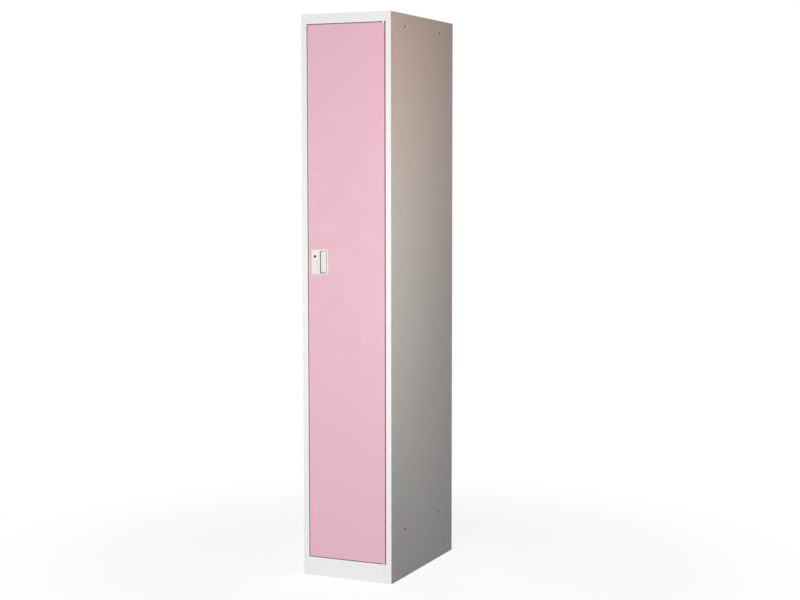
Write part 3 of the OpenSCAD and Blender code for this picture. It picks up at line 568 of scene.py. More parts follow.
@dataclass(frozen=True)
class SilveredGlass(Finish):
    """Silvered mirror glass with a faint greenish cast and wiped smears."""

    rim_tint: Colour = (0.45, 0.60, 0.55)
    rim_share: float = 0.6
    smeared: float = 0.12
    relief: float = 2e-6
    levels: ClassVar[dict[str, float]] = {**METAL, "Coat Weight": 0.5, "Coat Roughness": 0.02}

    def look(self, g: Graph) -> Look:
        """Join smears and rim tint.

        Args:
            g: The material's graph.

        Returns:
            Base colour, roughness and relief.
        """
        base = self.tone(g, patch=0.05, amount=0.01)
        colour = g.blend(g.times(g.rim(), self.rim_share), base, self.rim_tint)
        smear = g.effect(Effect.SCUFFS, Length=0.06, Amount=0.3)
        rough = g.plus(self.drift(g, spread=0.01, size=0.03), g.times(smear, self.smeared))
        return colour, rough, g.times(g.noise(40 * MM, detail=1.0), self.relief)


WHITE: Colour = (0.845, 0.850, 0.865)
PINK: Colour = (0.765, 0.447, 0.538)
PANEL_WELDS = {"Centre": 0.0, "Line": 0.1475, "Pitch": 0.0895}
DOOR_WELDS = {"Centre": -0.001, "Line": 0.0375, "Pitch": 0.120}
WHITE_COAT = PowderCoat("frame_white", Slot.FRAME, WHITE)
WELDED_COAT = PowderCoat("frame_white_welded", Slot.FRAME, WHITE, welds=PANEL_WELDS)
PINK_COAT = PowderCoat("door_pink", Slot.DOOR, PINK, roughness=0.42)
RIBBED_COAT = PowderCoat("door_pink_welded", Slot.DOOR, PINK, roughness=0.42, welds=DOOR_WELDS)
IVORY = Moulding("ivory_moulding", Slot.MOULDING, (0.755, 0.750, 0.715), roughness=0.46)
# The lever's ivory is a slightly darker copy of the plate's: painted shade that tones down the brighter light
# its tilted face catches.
SHADED_LEVER_IVORY = Moulding("ivory_lever_shaded", Slot.MOULDING, (0.740, 0.732, 0.695), roughness=0.52)
ZINC = ZincPlate("bright_zinc", Slot.ZINC, (0.60, 0.61, 0.63), roughness=0.34)
CHROME = Chrome("chrome_plate", Slot.CHROME, (0.78, 0.79, 0.80), roughness=0.08)
NYLON = Moulding("natural_nylon", Slot.NYLON, (0.74, 0.73, 0.68), roughness=0.36, grain=3e-6)
RUBBER = DarkMatter("buffer_rubber", Slot.RUBBER, (0.022, 0.022, 0.022), roughness=0.72)
FERRITE = DarkMatter("ferrite_strip", Slot.FERRITE, (0.045, 0.043, 0.040), roughness=0.62, cell=0.3 * MM)
MIRROR = SilveredGlass("mirror_glass", Slot.MIRROR, (0.86, 0.89, 0.89), roughness=0.03)
TRAY_GREY = Moulding("tray_grey", Slot.TRAY, (0.14, 0.145, 0.15), roughness=0.48, grain=1.2e-5,
                     cell=0.9 * MM, rim_tint=(0.22, 0.225, 0.23))


def joined_mesh(node: str) -> Mesh:
    """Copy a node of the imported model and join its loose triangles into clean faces.

    Args:
        node: Name of the node.

    Returns:
        The joined mesh.
    """
    bm = bmesh.new()
    bm.from_mesh(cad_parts[node].data)
    bmesh.ops.remove_doubles(bm, verts=bm.verts[:], dist=JOIN_WITHIN)
    bmesh.ops.dissolve_limit(bm, angle_limit=FLAT_WITHIN, verts=bm.verts[:], edges=bm.edges[:])
    return bm


def islands(node: str) -> list[Span]:
    """Find the separate solids of a node.

    Args:
        node: Name of the node.

    Returns:
        Lowest and highest corner of each solid.
    """
    bm = joined_mesh(node)
    left = set(bm.verts)
    found = []
    while left:
        group = [left.pop()]
        for vert in group:
            for edge in vert.link_edges:
                other = edge.other_vert(vert)
                if other in left:
                    left.remove(other)
                    group.append(other)
        spots = [v.co for v in group]
        lo = Vector(min(p[k] for p in spots) for k in range(3))
        hi = Vector(max(p[k] for p in spots) for k in range(3))
        found.append((lo, hi))
    bm.free()
    return sorted(found, key=lambda s: tuple(round(v, 5) for v in s[0]))


def soften(bm: Mesh, width: float, rounds: int, above: float = 25.0) -> None:
    """Round the sharp edges of a mesh and mark their middles with the rim attribute.

    Args:
        bm: The mesh.
        width: Width of the rounding on each face.
        rounds: Number of faces across the rounding.
        above: Edges that turn by more than this many degrees are rounded.
    """
    sharp = [e for e in bm.edges if e.is_manifold and e.calc_face_angle(0.0) > math.radians(above)]
    flat = set(bm.faces)
    bmesh.ops.bevel(bm, geom=sharp, offset=width, offset_type="OFFSET", segments=rounds, profile=0.5,
                    affect="EDGES", clamp_overlap=False)
    rim = bm.verts.layers.float.get("rim") or bm.verts.layers.float.new("rim")
    for vert in bm.verts:
        vert[rim] = 0.0 if any(f in flat for f in vert.link_faces) else 1.0


def finished_mesh(bm: Mesh, name: str, smooth: float = 50.0) -> Piece:
    """Turn a working mesh into an object with smooth shading.

    Args:
        bm: The mesh, which is freed.
        name: Name of the object.
        smooth: Edges that turn by less than this many degrees are shaded smooth.

    Returns:
        The object, linked to the scene.
    """
    mesh = bpy.data.meshes.new(name)
    bm.to_mesh(mesh)
    bm.free()
    mesh.polygons.foreach_set("use_smooth", [True] * len(mesh.polygons))
    mesh.set_sharp_from_angle(angle=math.radians(smooth))
    obj = bpy.data.objects.new(name, mesh)
    bpy.context.scene.collection.objects.link(obj)
    return obj


def install(obj: Piece, finish: Finish, body: Body, *nodes: str) -> Piece:
    """Dress a piece, fix it to its body and let it stand for its nodes.

    Args:
        obj: The piece.
        finish: Its finish.
        body: The body it rides on.
        *nodes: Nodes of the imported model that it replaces.

    Returns:
        The piece.
    """
    obj.data.materials.clear()
    obj.data.materials.append(finish.material())
    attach(obj, body.value)
    if nodes:
        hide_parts(*nodes)
    log.info("%s on %s, %d faces", obj.name, body.value, len(obj.data.polygons))
    return obj


def spin(bm: Mesh, outline: Sequence[tuple[float, float]], steps: int = 32,
         move: Matrix | None = None) -> None:
    """Add a closed turned shape to a mesh.

    Args:
        bm: The mesh to add to.
        outline: Radius and height of each point, from the lower pole to the upper one.
        steps: Number of faces around.
        move: Where the local Z axis goes.
    """
    place = move or Matrix.Identity(4)
    rings: list[list[bmesh.types.BMVert]] = []
    for radius, height in outline:
        ring = []
        for k in range(steps if radius else 1):
            turn = math.tau * k / steps
            spot = Vector((radius * math.cos(turn), radius * math.sin(turn), height))
            ring.append(bm.verts.new(place @ spot))
        rings.append(ring)
    faces = []
    for low, high in zip(rings, rings[1:]):
        for k in range(steps):
            corners = [low[k % len(low)], low[(k + 1) % len(low)]]
            corners += [high[(k + 1) % len(high)], high[k % len(high)]]
            distinct = list(dict.fromkeys(corners))
            if len(distinct) > 2:
                faces.append(bm.faces.new(distinct))
    bmesh.ops.recalc_face_normals(bm, faces=faces)


def rounded_block(bm: Mesh, lo: Vector, hi: Vector, width: float, rounds: int = 2) -> None:
    """Add a block with softened edges to a mesh.

    Args:
        bm: The mesh to add to.
        lo: Lowest corner.
        hi: Highest corner.
        width: Width of the rounding.
        rounds: Number of faces across the rounding.
    """
    move = Matrix.Translation((lo + hi) / 2) @ Matrix.Diagonal((*(hi - lo), 1.0))
    made = bmesh.ops.create_cube(bm, size=1.0, matrix=move)
    edges = list({e for v in made["verts"] for e in v.link_edges})
    bmesh.ops.bevel(bm, geom=edges, offset=width, offset_type="OFFSET", segments=rounds, profile=0.5,
                    affect="EDGES", clamp_overlap=True)


class Row:
    """The plain solids of a node, which all point the same way."""

    def __init__(self, node: str, up: Vector) -> None:
        """Measure the solids.

        Args:
            node: Name of the node.
            up: Main axis from their tails to their heads.
        """
        spans = islands(node)
        size = spans[0][1] - spans[0][0]
        self.node = node
        self.up = up
        self.radius = size.x / 2
        self.length = abs(up.dot(size))
        self.tops = [(lo + hi) / 2 + up * (self.length / 2) for lo, hi in spans]


class GeometryTree:
    """A geometry node tree with named inputs, built once."""

    def __init__(self, name: str, **ins: str) -> None:
        """Open the tree with a geometry input, a material, further inputs and a geometry output.

        Args:
            name: Name of the tree.
            **ins: Socket type of each further input.
        """
        self.tree = bpy.data.node_groups.new(name, "GeometryNodeTree")
        for label, kind in {"Geometry": "Geometry", "Material": "Material", **ins}.items():
            self.tree.interface.new_socket(label, in_out="INPUT", socket_type="NodeSocket" + kind)
        self.tree.interface.new_socket("Geometry", in_out="OUTPUT", socket_type="NodeSocketGeometry")
        self.g = Graph(self.tree)
        self.source = self.g.add("NodeGroupInput").outputs
        self.sink = self.g.add("NodeGroupOutput").inputs[0]

    def close(self, geometry: Socket) -> None:
        """End the tree with realized instances and the material.

        Args:
            geometry: The finished geometry.
        """
        real = self.g.add("GeometryNodeRealizeInstances", {0: geometry}).outputs[0]
        feeds = {"Geometry": real, "Material": self.source["Material"]}
        self.g.feed(self.sink, self.g.add("GeometryNodeSetMaterial", feeds).outputs[0])

    def run(self, name: str, points: Sequence[Vector], edges: Sequence[tuple[int, int]],
            values: dict[str, object], axes: Sequence[Vector] = ()) -> Piece:
        """Run the tree on a set of points and keep the result as a plain mesh.

        Args:
            name: Name of the object.
            points: The points.
            edges: Edges between them.
            values: Values of the tree's inputs.
            axes: Direction at each point, if the tree reads one.

        Returns:
            The object with the resulting mesh and no modifier.
        """
        mesh = bpy.data.meshes.new(name + "_points")
        mesh.from_pydata([tuple(p) for p in points], [tuple(e) for e in edges], [])
        if axes:
            layer = mesh.attributes.new("axis", "FLOAT_VECTOR", "POINT")
            layer.data.foreach_set("vector", [c for a in axes for c in a])
        obj = bpy.data.objects.new(name, mesh)
        bpy.context.scene.collection.objects.link(obj)
        modifier = obj.modifiers.new("tree", "NODES")
        modifier.node_group = self.tree
        sockets = {s.name: s.identifier for s in self.tree.interface.items_tree if s.in_out == "INPUT"}
        for label, value in values.items():
            modifier[sockets[label]] = value
        bpy.context.view_layer.update()
        graph = bpy.context.evaluated_depsgraph_get()
        made = obj.evaluated_get(graph)
        result = bpy.data.meshes.new_from_object(made, preserve_all_data_layers=True, depsgraph=graph)
        obj.modifiers.remove(modifier)
        obj.data = result
        bpy.data.meshes.remove(mesh)
        return obj


def seat_tree() -> GeometryTree:
    """Build the tree that repeats one part at every seat, turned at random about its axis.

    Returns:
        The tree.
    """
    tree = GeometryTree("parts_on_seats", Part="Object", Turn="Float", Seed="Int")
    g, source = tree.g, tree.source
    part = g.add("GeometryNodeObjectInfo", {"Object": source["Part"], "As Instance": True})
    axis = g.add("GeometryNodeInputNamedAttribute", {"Name": "axis"}, data_type="FLOAT_VECTOR").outputs[0]
    aim = g.add("FunctionNodeAlignRotationToVector", {"Vector": axis}, axis="Z").outputs[0]
    turn = g.add("FunctionNodeRandomValue", {3: source["Turn"], "Seed": source["Seed"]}, data_type="FLOAT")
    feeds = {"Axis": (0.0, 0.0, 1.0), "Angle": turn.outputs[1]}
    spun = g.add("FunctionNodeAxisAngleToRotation", feeds).outputs[0]
    feeds = {"Rotation": aim, "Rotate By": spun}
    both = g.add("FunctionNodeRotateRotation", feeds, rotation_space="LOCAL").outputs[0]
    feeds = {"Points": source["Geometry"], "Instance": part.outputs["Geometry"], "Rotation": both}
    tree.close(g.add("GeometryNodeInstanceOnPoints", feeds).outputs[0])
    return tree


def wire_tree() -> GeometryTree:
    """Build the tree that lays a round wire along a path.

    Returns:
        The tree.
    """
    tree = GeometryTree("wire_on_path", Radius="Float", Sides="Int")
    g, source = tree.g, tree.source
    path = g.add("GeometryNodeMeshToCurve", {"Mesh": source["Geometry"]}).outputs[0]
    feeds = {"Resolution": source["Sides"], "Radius": source["Radius"]}
    ring = g.add("GeometryNodeCurvePrimitiveCircle", feeds).outputs[0]
    feeds = {"Curve": path, "Profile Curve": ring, "Fill Caps": True}
    tube = g.add("GeometryNodeCurveToMesh", feeds).outputs[0]
    tree.close(g.add("GeometryNodeSetShadeSmooth", {0: tube}).outputs[0])
    return tree


@dataclass
class Workshop:
    """The geometry trees that the sub-assemblies share, and what they make."""

    seats: GeometryTree = field(default_factory=seat_tree)
    wires: GeometryTree = field(default_factory=wire_tree)
    seed: int = 7
    smooth: float = 35.0

    def repeat(self, name: str, part: Mesh, feet: Sequence[Vector], up: Vector, finish: Finish, body: Body,
               nodes: Sequence[str] = (), turn: float = 0.0) -> Piece:
        """Repeat a small part at several places.

        Args:
            name: Name of the piece.
            part: Mesh of one part, its foot at the origin and its axis along Z.
            feet: The places.
            up: Direction of the part's axis there.
            finish: Its finish.
            body: The body it rides on.
            nodes: Nodes that it replaces.
            turn: Largest turn about the axis, in radians.

        Returns:
            The piece.
        """
        pattern = finished_mesh(part, name + "_pattern", self.smooth)
        values = {"Part": pattern, "Material": finish.material(), "Turn": turn, "Seed": self.seed}
        obj = self.seats.run(name, feet, [], values, [up] * len(feet))
        spare = pattern.data
        bpy.data.objects.remove(pattern)
        bpy.data.meshes.remove(spare)
        return install(obj, finish, body, *nodes)

    def swap(self, row: Row, part: Mesh, head: float, finish: Finish, body: Body, turn: float = 0.0) -> Piece:
        """Put one detailed part in the place of every plain solid of a row.

        Args:
            row: The plain solids.
            part: Mesh of the part.
            head: Height of the part above its foot.
            finish: Its finish.
            body: The body it rides on.
            turn: Largest turn about the axis, in radians.

        Returns:
            The piece.
        """
        feet = [top - row.up * head for top in row.tops]
        return self.repeat(row.node + "_piece", part, feet, row.up, finish, body, [row.node], turn)

    def screws(self, row: Row, head: float, shank: float, body: Body, turn: float = math.tau,
               steps: int = 32) -> Piece:
        """Put pan-head screws in the place of the plain ones of a row.

        Args:
            row: The plain screws.
            head: Height of the heads.
            shank: Radius of the shanks.
            body: The body they ride on.
            turn: Largest turn about the axis, in radians.
            steps: Number of faces around.

        Returns:
            The piece.
        """
        part = pan_head(row.radius, head, shank, row.length - head, steps)
        return self.swap(row, part, head, ZINC, body, turn)

    def lay(self, name: str, path: Sequence[Vector], radius: float, finish: Finish,
            closed: bool = False, sides: int = 12) -> Piece:
        """Lay a wire along a path.

        Args:
            name: Name of the piece.
            path: Points of the wire's middle line.
            radius: Radius of the wire.
            finish: Its finish.
            closed: Whether the path returns to its start.
            sides: Number of faces round the wire.

        Returns:
            The wire, not yet installed.
        """
        last = len(path) if closed else len(path) - 1
        edges = [(k, (k + 1) % len(path)) for k in range(last)]
        values = {"Material": finish.material(), "Radius": radius, "Sides": sides}
        return self.wires.run(name, path, edges, values)


def clamp(value: float) -> float:
    """Return the value kept between 0 and 1."""
    return max(0.0, min(1.0, value))


def pan_head(radius: float, height: float, shank: float, length: float, steps: int = 32) -> Mesh:
    """Build a pan-head screw with a cross recess, its head standing on Z = 0.

    Args:
        radius: Radius of the head.
        height: Height of the head.
        shank: Radius of the shank.
        length: Length of the shank below the head.
        steps: Number of faces around.

    Returns:
        The screw's mesh.
    """
    bm = bmesh.new()
    outline = [(0.0, -length), (shank * 0.7, -length), (shank, -length + shank * 0.4), (shank, 0.0),
               (radius * 0.96, 0.0), (radius, height * 0.12), (radius, height * 0.45),
               (radius * 0.96, height * 0.68), (radius * 0.84, height * 0.86), (radius * 0.70, height * 0.95)]
    outline += [(radius * f, height * (1.0 - 0.1 * f * f)) for f in (0.58, 0.50, 0.42, 0.34, 0.26, 0.18, 0.10)]
    spin(bm, outline + [(0.0, height)], steps)
    arm, reach, slope, depth = radius * 0.13, radius * 0.54, radius * 0.1, height * 0.5
    for vert in bm.verts:
        flat = Vector((abs(vert.co.x), abs(vert.co.y)))
        if vert.co.z > height * 0.8 and flat.length < radius * 0.62:
            across, along = clamp((arm * 1.6 - min(flat)) / (arm * 0.8)), clamp((reach - max(flat)) / slope)
            vert.co.z -= depth * across * along
    return bm


def rivet(radius: float, height: float, shank: float, length: float) -> Mesh:
    """Build a rivet with a domed head on Z = 0 and an equally high flat tail below its shank.

    Args:
        radius: Radius of head and tail.
        height: Height of the head.
        shank: Radius of the shank.
        length: Length of the shank.

    Returns:
        The rivet's mesh.
    """
    bm = bmesh.new()
    low = -length - height
    spin(bm, [(0.0, low), (radius * 0.75, low), (radius, low + height * 0.35), (radius, -length),
              (shank, -length), (shank, 0.0), (radius, 0.0), (radius * 0.98, height * 0.25),
              (radius * 0.88, height * 0.55), (radius * 0.68, height * 0.82), (radius * 0.40, height * 0.96),
              (0.0, height)], steps=28)
    return bm


def buffer(radius: float, height: float) -> Mesh:
    """Build a domed rubber buffer on Z = 0.

    Args:
        radius: Its radius.
        height: Its height.

    Returns:
        The buffer's mesh.
    """
    bm = bmesh.new()
    spin(bm, [(0.0, 0.0), (radius, 0.0), (radius, height * 0.35), (radius * 0.965, height * 0.6),
              (radius * 0.88, height * 0.80), (radius * 0.74, height * 0.93), (radius * 0.5, height * 0.99),
              (0.0, height)])
    return bm


@dataclass
class Assembly:
    """A sub-assembly of the locker."""

    shop: Workshop
    body: ClassVar[Body] = Body.CABINET

    def take(self, nodes: str, finish: Finish, width: float = 0.22 * MM, rounds: int = 2,
             body: Body | None = None) -> None:
        """Take over nodes as pieces with softened edges beside evenly shaded faces.

        Args:
            nodes: Names of the nodes.
            finish: Their finish.
            width: Width of the rounding along their edges.
            rounds: Number of faces across the rounding.
            body: The body they ride on, if not the sub-assembly's own.
        """
        for node in nodes.split():
            bm = joined_mesh(node)
            soften(bm, width, rounds)
            obj = finished_mesh(bm, node + "_piece")
            weigh = obj.modifiers.new("flat_faces", "WEIGHTED_NORMAL")
            weigh.keep_sharp = True
            weigh.weight = WIDE_FACE_PULL
            install(obj, finish, body or self.body, node)

    def build(self) -> None:
        """Build the pieces."""
        raise NotImplementedError


@dataclass
class CabinetShell(Assembly):
    """The painted sheets of the cabinet."""

    bracket_edge: float = 0.30 * MM

    def build(self) -> None:
        """Soften and dress every sheet."""
        self.take("left_side_panel right_side_panel", WELDED_COAT)
        self.take("back_panel top_panel floor_panel header_rail plinth", WHITE_COAT)
        self.take("pivot_bracket_top pivot_bracket_bottom", WHITE_COAT, self.bracket_edge)


@dataclass
class DoorPanel(Assembly):
    """The folded door skin and the stiffener behind it."""

    body: ClassVar[Body] = Body.DOOR

    def build(self) -> None:
        """Soften and dress the skin and the stiffener."""
        self.take("door_skin", PINK_COAT)
        self.take("door_stiffener", RIBBED_COAT)


@dataclass
class Pivots(Assembly):
    """Pins, bushes, plates and rivets that hang the door."""

    lead: float = 0.6 * MM
    foot_lead: float = 0.2 * MM
    edge: float = 0.25 * MM
    bush_edge: float = 0.15 * MM

    def build(self) -> None:
        """Build the pins with their leads and take over the rest."""
        for end, down in (("top", True), ("bottom", False)):
            lo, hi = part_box("pivot_pin_" + end)
            radius, length = (hi.x - lo.x) / 2, hi.z - lo.z
            outline = [(0.0, 0.0), (radius - self.foot_lead, 0.0), (radius, self.foot_lead),
                       (radius, length - self.lead), (radius - self.lead * 0.6, length), (0.0, length)]
            foot = Vector(((lo.x + hi.x) / 2, (lo.y + hi.y) / 2, hi.z if down else lo.z))
            turn = Matrix.Rotation(math.pi if down else 0.0, 4, "X")
            bm = bmesh.new()
            spin(bm, outline, steps=40, move=Matrix.Translation(foot) @ turn)
            pin = finished_mesh(bm, f"pivot_pin_{end}_piece", smooth=40.0)
            install(pin, ZINC, Body.CABINET, "pivot_pin_" + end)
            self.take("pivot_bush_" + end, NYLON, self.bush_edge, body=Body.DOOR)
            self.take("door_pivot_plate_" + end, ZINC, self.edge, body=Body.DOOR)
        self.take("bracket_rivets", ZINC, self.edge)


@dataclass
class PullSet(Assembly):
    """The moulded pull plate, its lever, pin, spring and clips."""

    body: ClassVar[Body] = Body.DOOR
    plate_edge: float = 0.5 * MM
    lever_edge: float = 0.9 * MM
    pin_edge: float = 0.2 * MM
    clip_edge: float = 0.3 * MM
    wire: float = 0.3 * MM
    turns: int = 5
    steps: int = 16
    last_rise: float = 0.6 * MM
    leg_bulge: float = 0.2 * MM
    leg_reach: float = 1.6 * MM

    def spring_path(self) -> list[Vector]:
        """Trace the torsion spring: floor leg, turns, lever leg.

        Returns:
            The points of its middle line.
        """
        pin_lo, pin_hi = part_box("lever_pin")
        lo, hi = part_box("lever_spring")
        x, y = (pin_lo.x + pin_hi.x) / 2, (pin_lo.y + pin_hi.y) / 2
        radius = hi.x - self.wire - x
        low, high = lo.z + self.wire, hi.z - self.wire
        path = [Vector((x + radius, hi.y - self.wire, low)), Vector((x + radius, y + radius * 0.6, low))]
        count = self.turns * self.steps
        for k in range(count + 1):
            turn = math.tau * k / self.steps
            rise = low + (high - low - self.last_rise) * k / count
            path.append(Vector((x + radius * math.cos(turn), y + radius * math.sin(turn), rise)))
        path.append(Vector((x + radius * 0.6, y + radius + self.leg_bulge, high)))
        path.append(Vector((lo.x + self.wire, y + self.leg_reach, high)))
        return path

    def build(self) -> None:
        """Build the moulded pieces and the spring."""
        self.take("pull_plate", IVORY, self.plate_edge, rounds=3)
        # The lever's darker ivory is painted shade against the brighter light on its face.
        self.take("pull_lever", SHADED_LEVER_IVORY, self.lever_edge, rounds=4, body=Body.LEVER)
        self.take("lever_pin", ZINC, self.pin_edge)
        self.take("plate_clips", ZINC, self.clip_edge)
        spring = self.shop.lay("lever_spring_piece", self.spring_path(), self.wire, ZINC, sides=8)
        install(spring, ZINC, Body.DOOR, "lever_spring")


@dataclass
class CamLock(Assembly):
    """The cylinder lock: housing, plug, nut, cam and its screw."""

    body: ClassVar[Body] = Body.DOOR
    rim_colour: Colour = (0.48, 0.48, 0.49)
    # The plug's near-black colour is painted shade and reflection: it stands for the shadow in the lock's
    # recess and the dark surroundings mirrored in a nickel plug.
    plug_shade_colour: Colour = (0.045, 0.045, 0.048)
    rim_edge: float = 0.35 * MM
    plug_edge: float = 0.15 * MM
    cam_edge: float = 0.3 * MM
    head: float = 2.0 * MM
    shank: float = 1.45 * MM

    def build(self) -> None:
        """Build the lock round its own axis."""
        lo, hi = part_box("lock_housing")
        axis = tuple((lo + hi) / 2)
        satin = TurnedMetal("satin_nickel", Slot.LOCK, self.rim_colour, roughness=0.34, centre=axis)
        # The plug's near-black colour is painted shade, not the nickel's own colour.
        core = TurnedMetal("plug_nickel_shaded", Slot.LOCK, self.plug_shade_colour, roughness=0.38, centre=axis)
        self.take("lock_housing", satin, self.rim_edge)
        self.take("lock_plug", core, self.plug_edge, body=Body.LOCK)
        self.take("lock_nut", ZINC, self.cam_edge)
        self.take("lock_cam", ZINC, self.cam_edge, body=Body.LOCK)
        self.shop.screws(Row("cam_screw", BACK), self.head, self.shank, Body.LOCK, turn=0.6)


@dataclass
class MagnetCatch(Assembly):
    """The magnetic catch and the rubber buffers behind the door."""

    yoke_edge: float = 0.2 * MM
    magnet_edge: float = 0.3 * MM
    head: float = 0.9 * MM
    shank: float = 1.4 * MM

    def build(self) -> None:
        """Build the catch, its rivets and the buffers."""
        self.take("catch_yoke", ZINC, self.yoke_edge)
        self.take("catch_magnet", FERRITE, self.magnet_edge)
        row = Row("catch_rivets", FRONT)
        part = rivet(row.radius, self.head, self.shank, row.length - 2 * self.head)
        self.shop.swap(row, part, self.head, ZINC, Body.CABINET)
        row = Row("door_buffers", FRONT)
        part = buffer(row.radius, row.length)
        self.shop.swap(row, part, row.length, RUBBER, Body.CABINET, turn=3.0)


@dataclass
class ShelfAndRail(Assembly):
    """The hat shelf with its supports, and the hanger rail below it."""

    head: float = 2.2 * MM
    shank: float = 1.95 * MM
    strap_edge: float = 0.3 * MM
    rail_edge: float = 0.2 * MM
    cap_edge: float = 0.5 * MM

    def build(self) -> None:
        """Build shelf, supports, brackets, rail and screws."""
        self.take("hat_shelf shelf_support_left shelf_support_right", WHITE_COAT)
        self.take("rail_bracket_left rail_bracket_right rail_nuts", ZINC, self.strap_edge)
        for node in ("shelf_screws", "rail_screws"):
            self.shop.screws(Row(node, UP), self.head, self.shank, Body.CABINET)
        self.take("hanger_rail", CHROME, self.rail_edge)
        self.take("rail_caps", NYLON, self.cap_edge, rounds=3)


@dataclass
class DoorFittings(Assembly):
    """The mirror with its clips and the towel rail inside the door."""

    body: ClassVar[Body] = Body.DOOR
    head: float = 1.4 * MM
    shank: float = 1.45 * MM
    mirror_edge: float = 0.8 * MM
    clip_edge: float = 0.2 * MM
    bracket_edge: float = 0.3 * MM
    rail_edge: float = 0.4 * MM
    knob_edge: float = 1.2 * MM

    def build(self) -> None:
        """Build mirror, clips, brackets, rail, knobs and screws."""
        self.take("mirror", MIRROR, self.mirror_edge, rounds=1)
        self.take("mirror_clips", ZINC, self.clip_edge)
        self.take("towel_brackets", ZINC, self.bracket_edge)
        self.take("towel_rail", CHROME, self.rail_edge)
        self.take("towel_rail_knobs", NYLON, self.knob_edge, rounds=4)
        for node in ("clip_screws", "towel_screws"):
            self.shop.screws(Row(node, BACK), self.head, self.shank, Body.DOOR, steps=24)


@dataclass
class UmbrellaStand(Assembly):
    """The wire ring on the side panel and the drip tray below it."""

    wire: float = 2.5 * MM
    ring_steps: int = 72
    plate: float = 2.0 * MM
    plate_edge: float = 0.5 * MM
    arm: float = 1.5 * MM
    arm_edge: float = 0.4 * MM
    half: float = 15.0 * MM
    bead: float = 0.9 * MM
    bead_lift: float = 0.1 * MM
    bead_steps: int = 12
    rib: float = 1.2 * MM
    rib_sink: float = 0.2 * MM
    rib_edge: float = 0.5 * MM
    rib_pitch: float = 12.0 * MM
    rib_margin: float = 8.0 * MM
    wall: float = 2.0 * MM
    tray_edge: float = 0.8 * MM

    def build(self) -> None:
        """Build the ring and the tray."""
        self.ring()
        self.tray()

    def ring(self) -> None:
        """Build the ring, its plate and the weld bead between them."""
        lo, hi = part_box("umbrella_ring")
        y, z = (lo.y + hi.y) / 2, (lo.z + hi.z) / 2
        radius = (hi.y - lo.y) / 2 - self.wire
        x = hi.x - self.wire - radius
        turns = [math.tau * k / self.ring_steps for k in range(self.ring_steps)]
        path = [Vector((x + radius * math.cos(t), y + radius * math.sin(t), z)) for t in turns]
        loop = self.shop.lay("ring_wire", path, self.wire, CHROME, closed=True, sides=20)
        bm = bmesh.new()
        bm.from_mesh(loop.data)
        left, right = y - self.half, y + self.half
        plate_lo, plate_hi = Vector((lo.x, left, lo.z)), Vector((lo.x + self.plate, right, hi.z))
        rounded_block(bm, plate_lo, plate_hi, self.plate_edge)
        rounded_block(bm, Vector((lo.x + self.plate / 2, left, z - self.arm)),
                      Vector((x - radius, right, z + self.arm)), self.arm_edge)
        for side in (-1.0, 1.0):
            height = z + side * (self.arm + self.bead_lift)
            run = [Vector((lo.x + self.plate + self.bead_lift, y + self.half * k / self.bead_steps, height))
                   for k in range(-self.bead_steps, self.bead_steps + 1)]
            seam = self.shop.lay("ring_seam", run, self.bead, CHROME, sides=8)
            bm.from_mesh(seam.data)
            bpy.data.objects.remove(seam)
        bpy.data.objects.remove(loop)
        install(finished_mesh(bm, "umbrella_ring_piece", smooth=40.0), CHROME, Body.CABINET, "umbrella_ring")

    def tray(self) -> None:
        """Build the tray with softened walls and ribs on its floor."""
        self.take("drip_tray", TRAY_GREY, self.tray_edge, rounds=4, body=Body.TRAY)
        lo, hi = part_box("drip_tray")
        middle = (lo + hi) / 2
        room = hi - lo - Vector((1.0, 1.0, 1.0)) * 2 * (self.wall + self.rib_margin)
        half = room.x / 2
        bm = bmesh.new()
        rounded_block(bm, Vector((-half, -self.rib, -self.rib_sink)), Vector((half, self.rib, self.rib)),
                      self.rib_edge, rounds=3)
        count = int(room.y / self.rib_pitch)
        rows = [middle.y + (k - count / 2) * self.rib_pitch for k in range(count + 1)]
        feet = [Vector((middle.x, y, lo.z + self.wall)) for y in rows]
        self.shop.repeat("tray_ribs_piece", bm, feet, UP, TRAY_GREY, Body.TRAY)


@dataclass
class Lamp:
    """A soft rectangular lamp that aims at a point."""

    name: str
    place: tuple[float, float, float]
    aim: tuple[float, float, float]
    size: tuple[float, float]
    power: float
    colour: Colour = (1.0, 1.0, 1.0)

    def build(self) -> None:
        """Add the lamp to the scene."""
        light = bpy.data.lights.new(self.name, "AREA")
        light.shape = "RECTANGLE"
        light.size, light.size_y = self.size
        light.energy = self.power
        light.color = self.colour
        obj = bpy.data.objects.new(self.name, light)
        bpy.context.scene.collection.objects.link(obj)
        obj.location = self.place
        obj.rotation_euler = (Vector(self.aim) - Vector(self.place)).to_track_quat("-Z", "Y").to_euler()
        obj.visible_camera = False


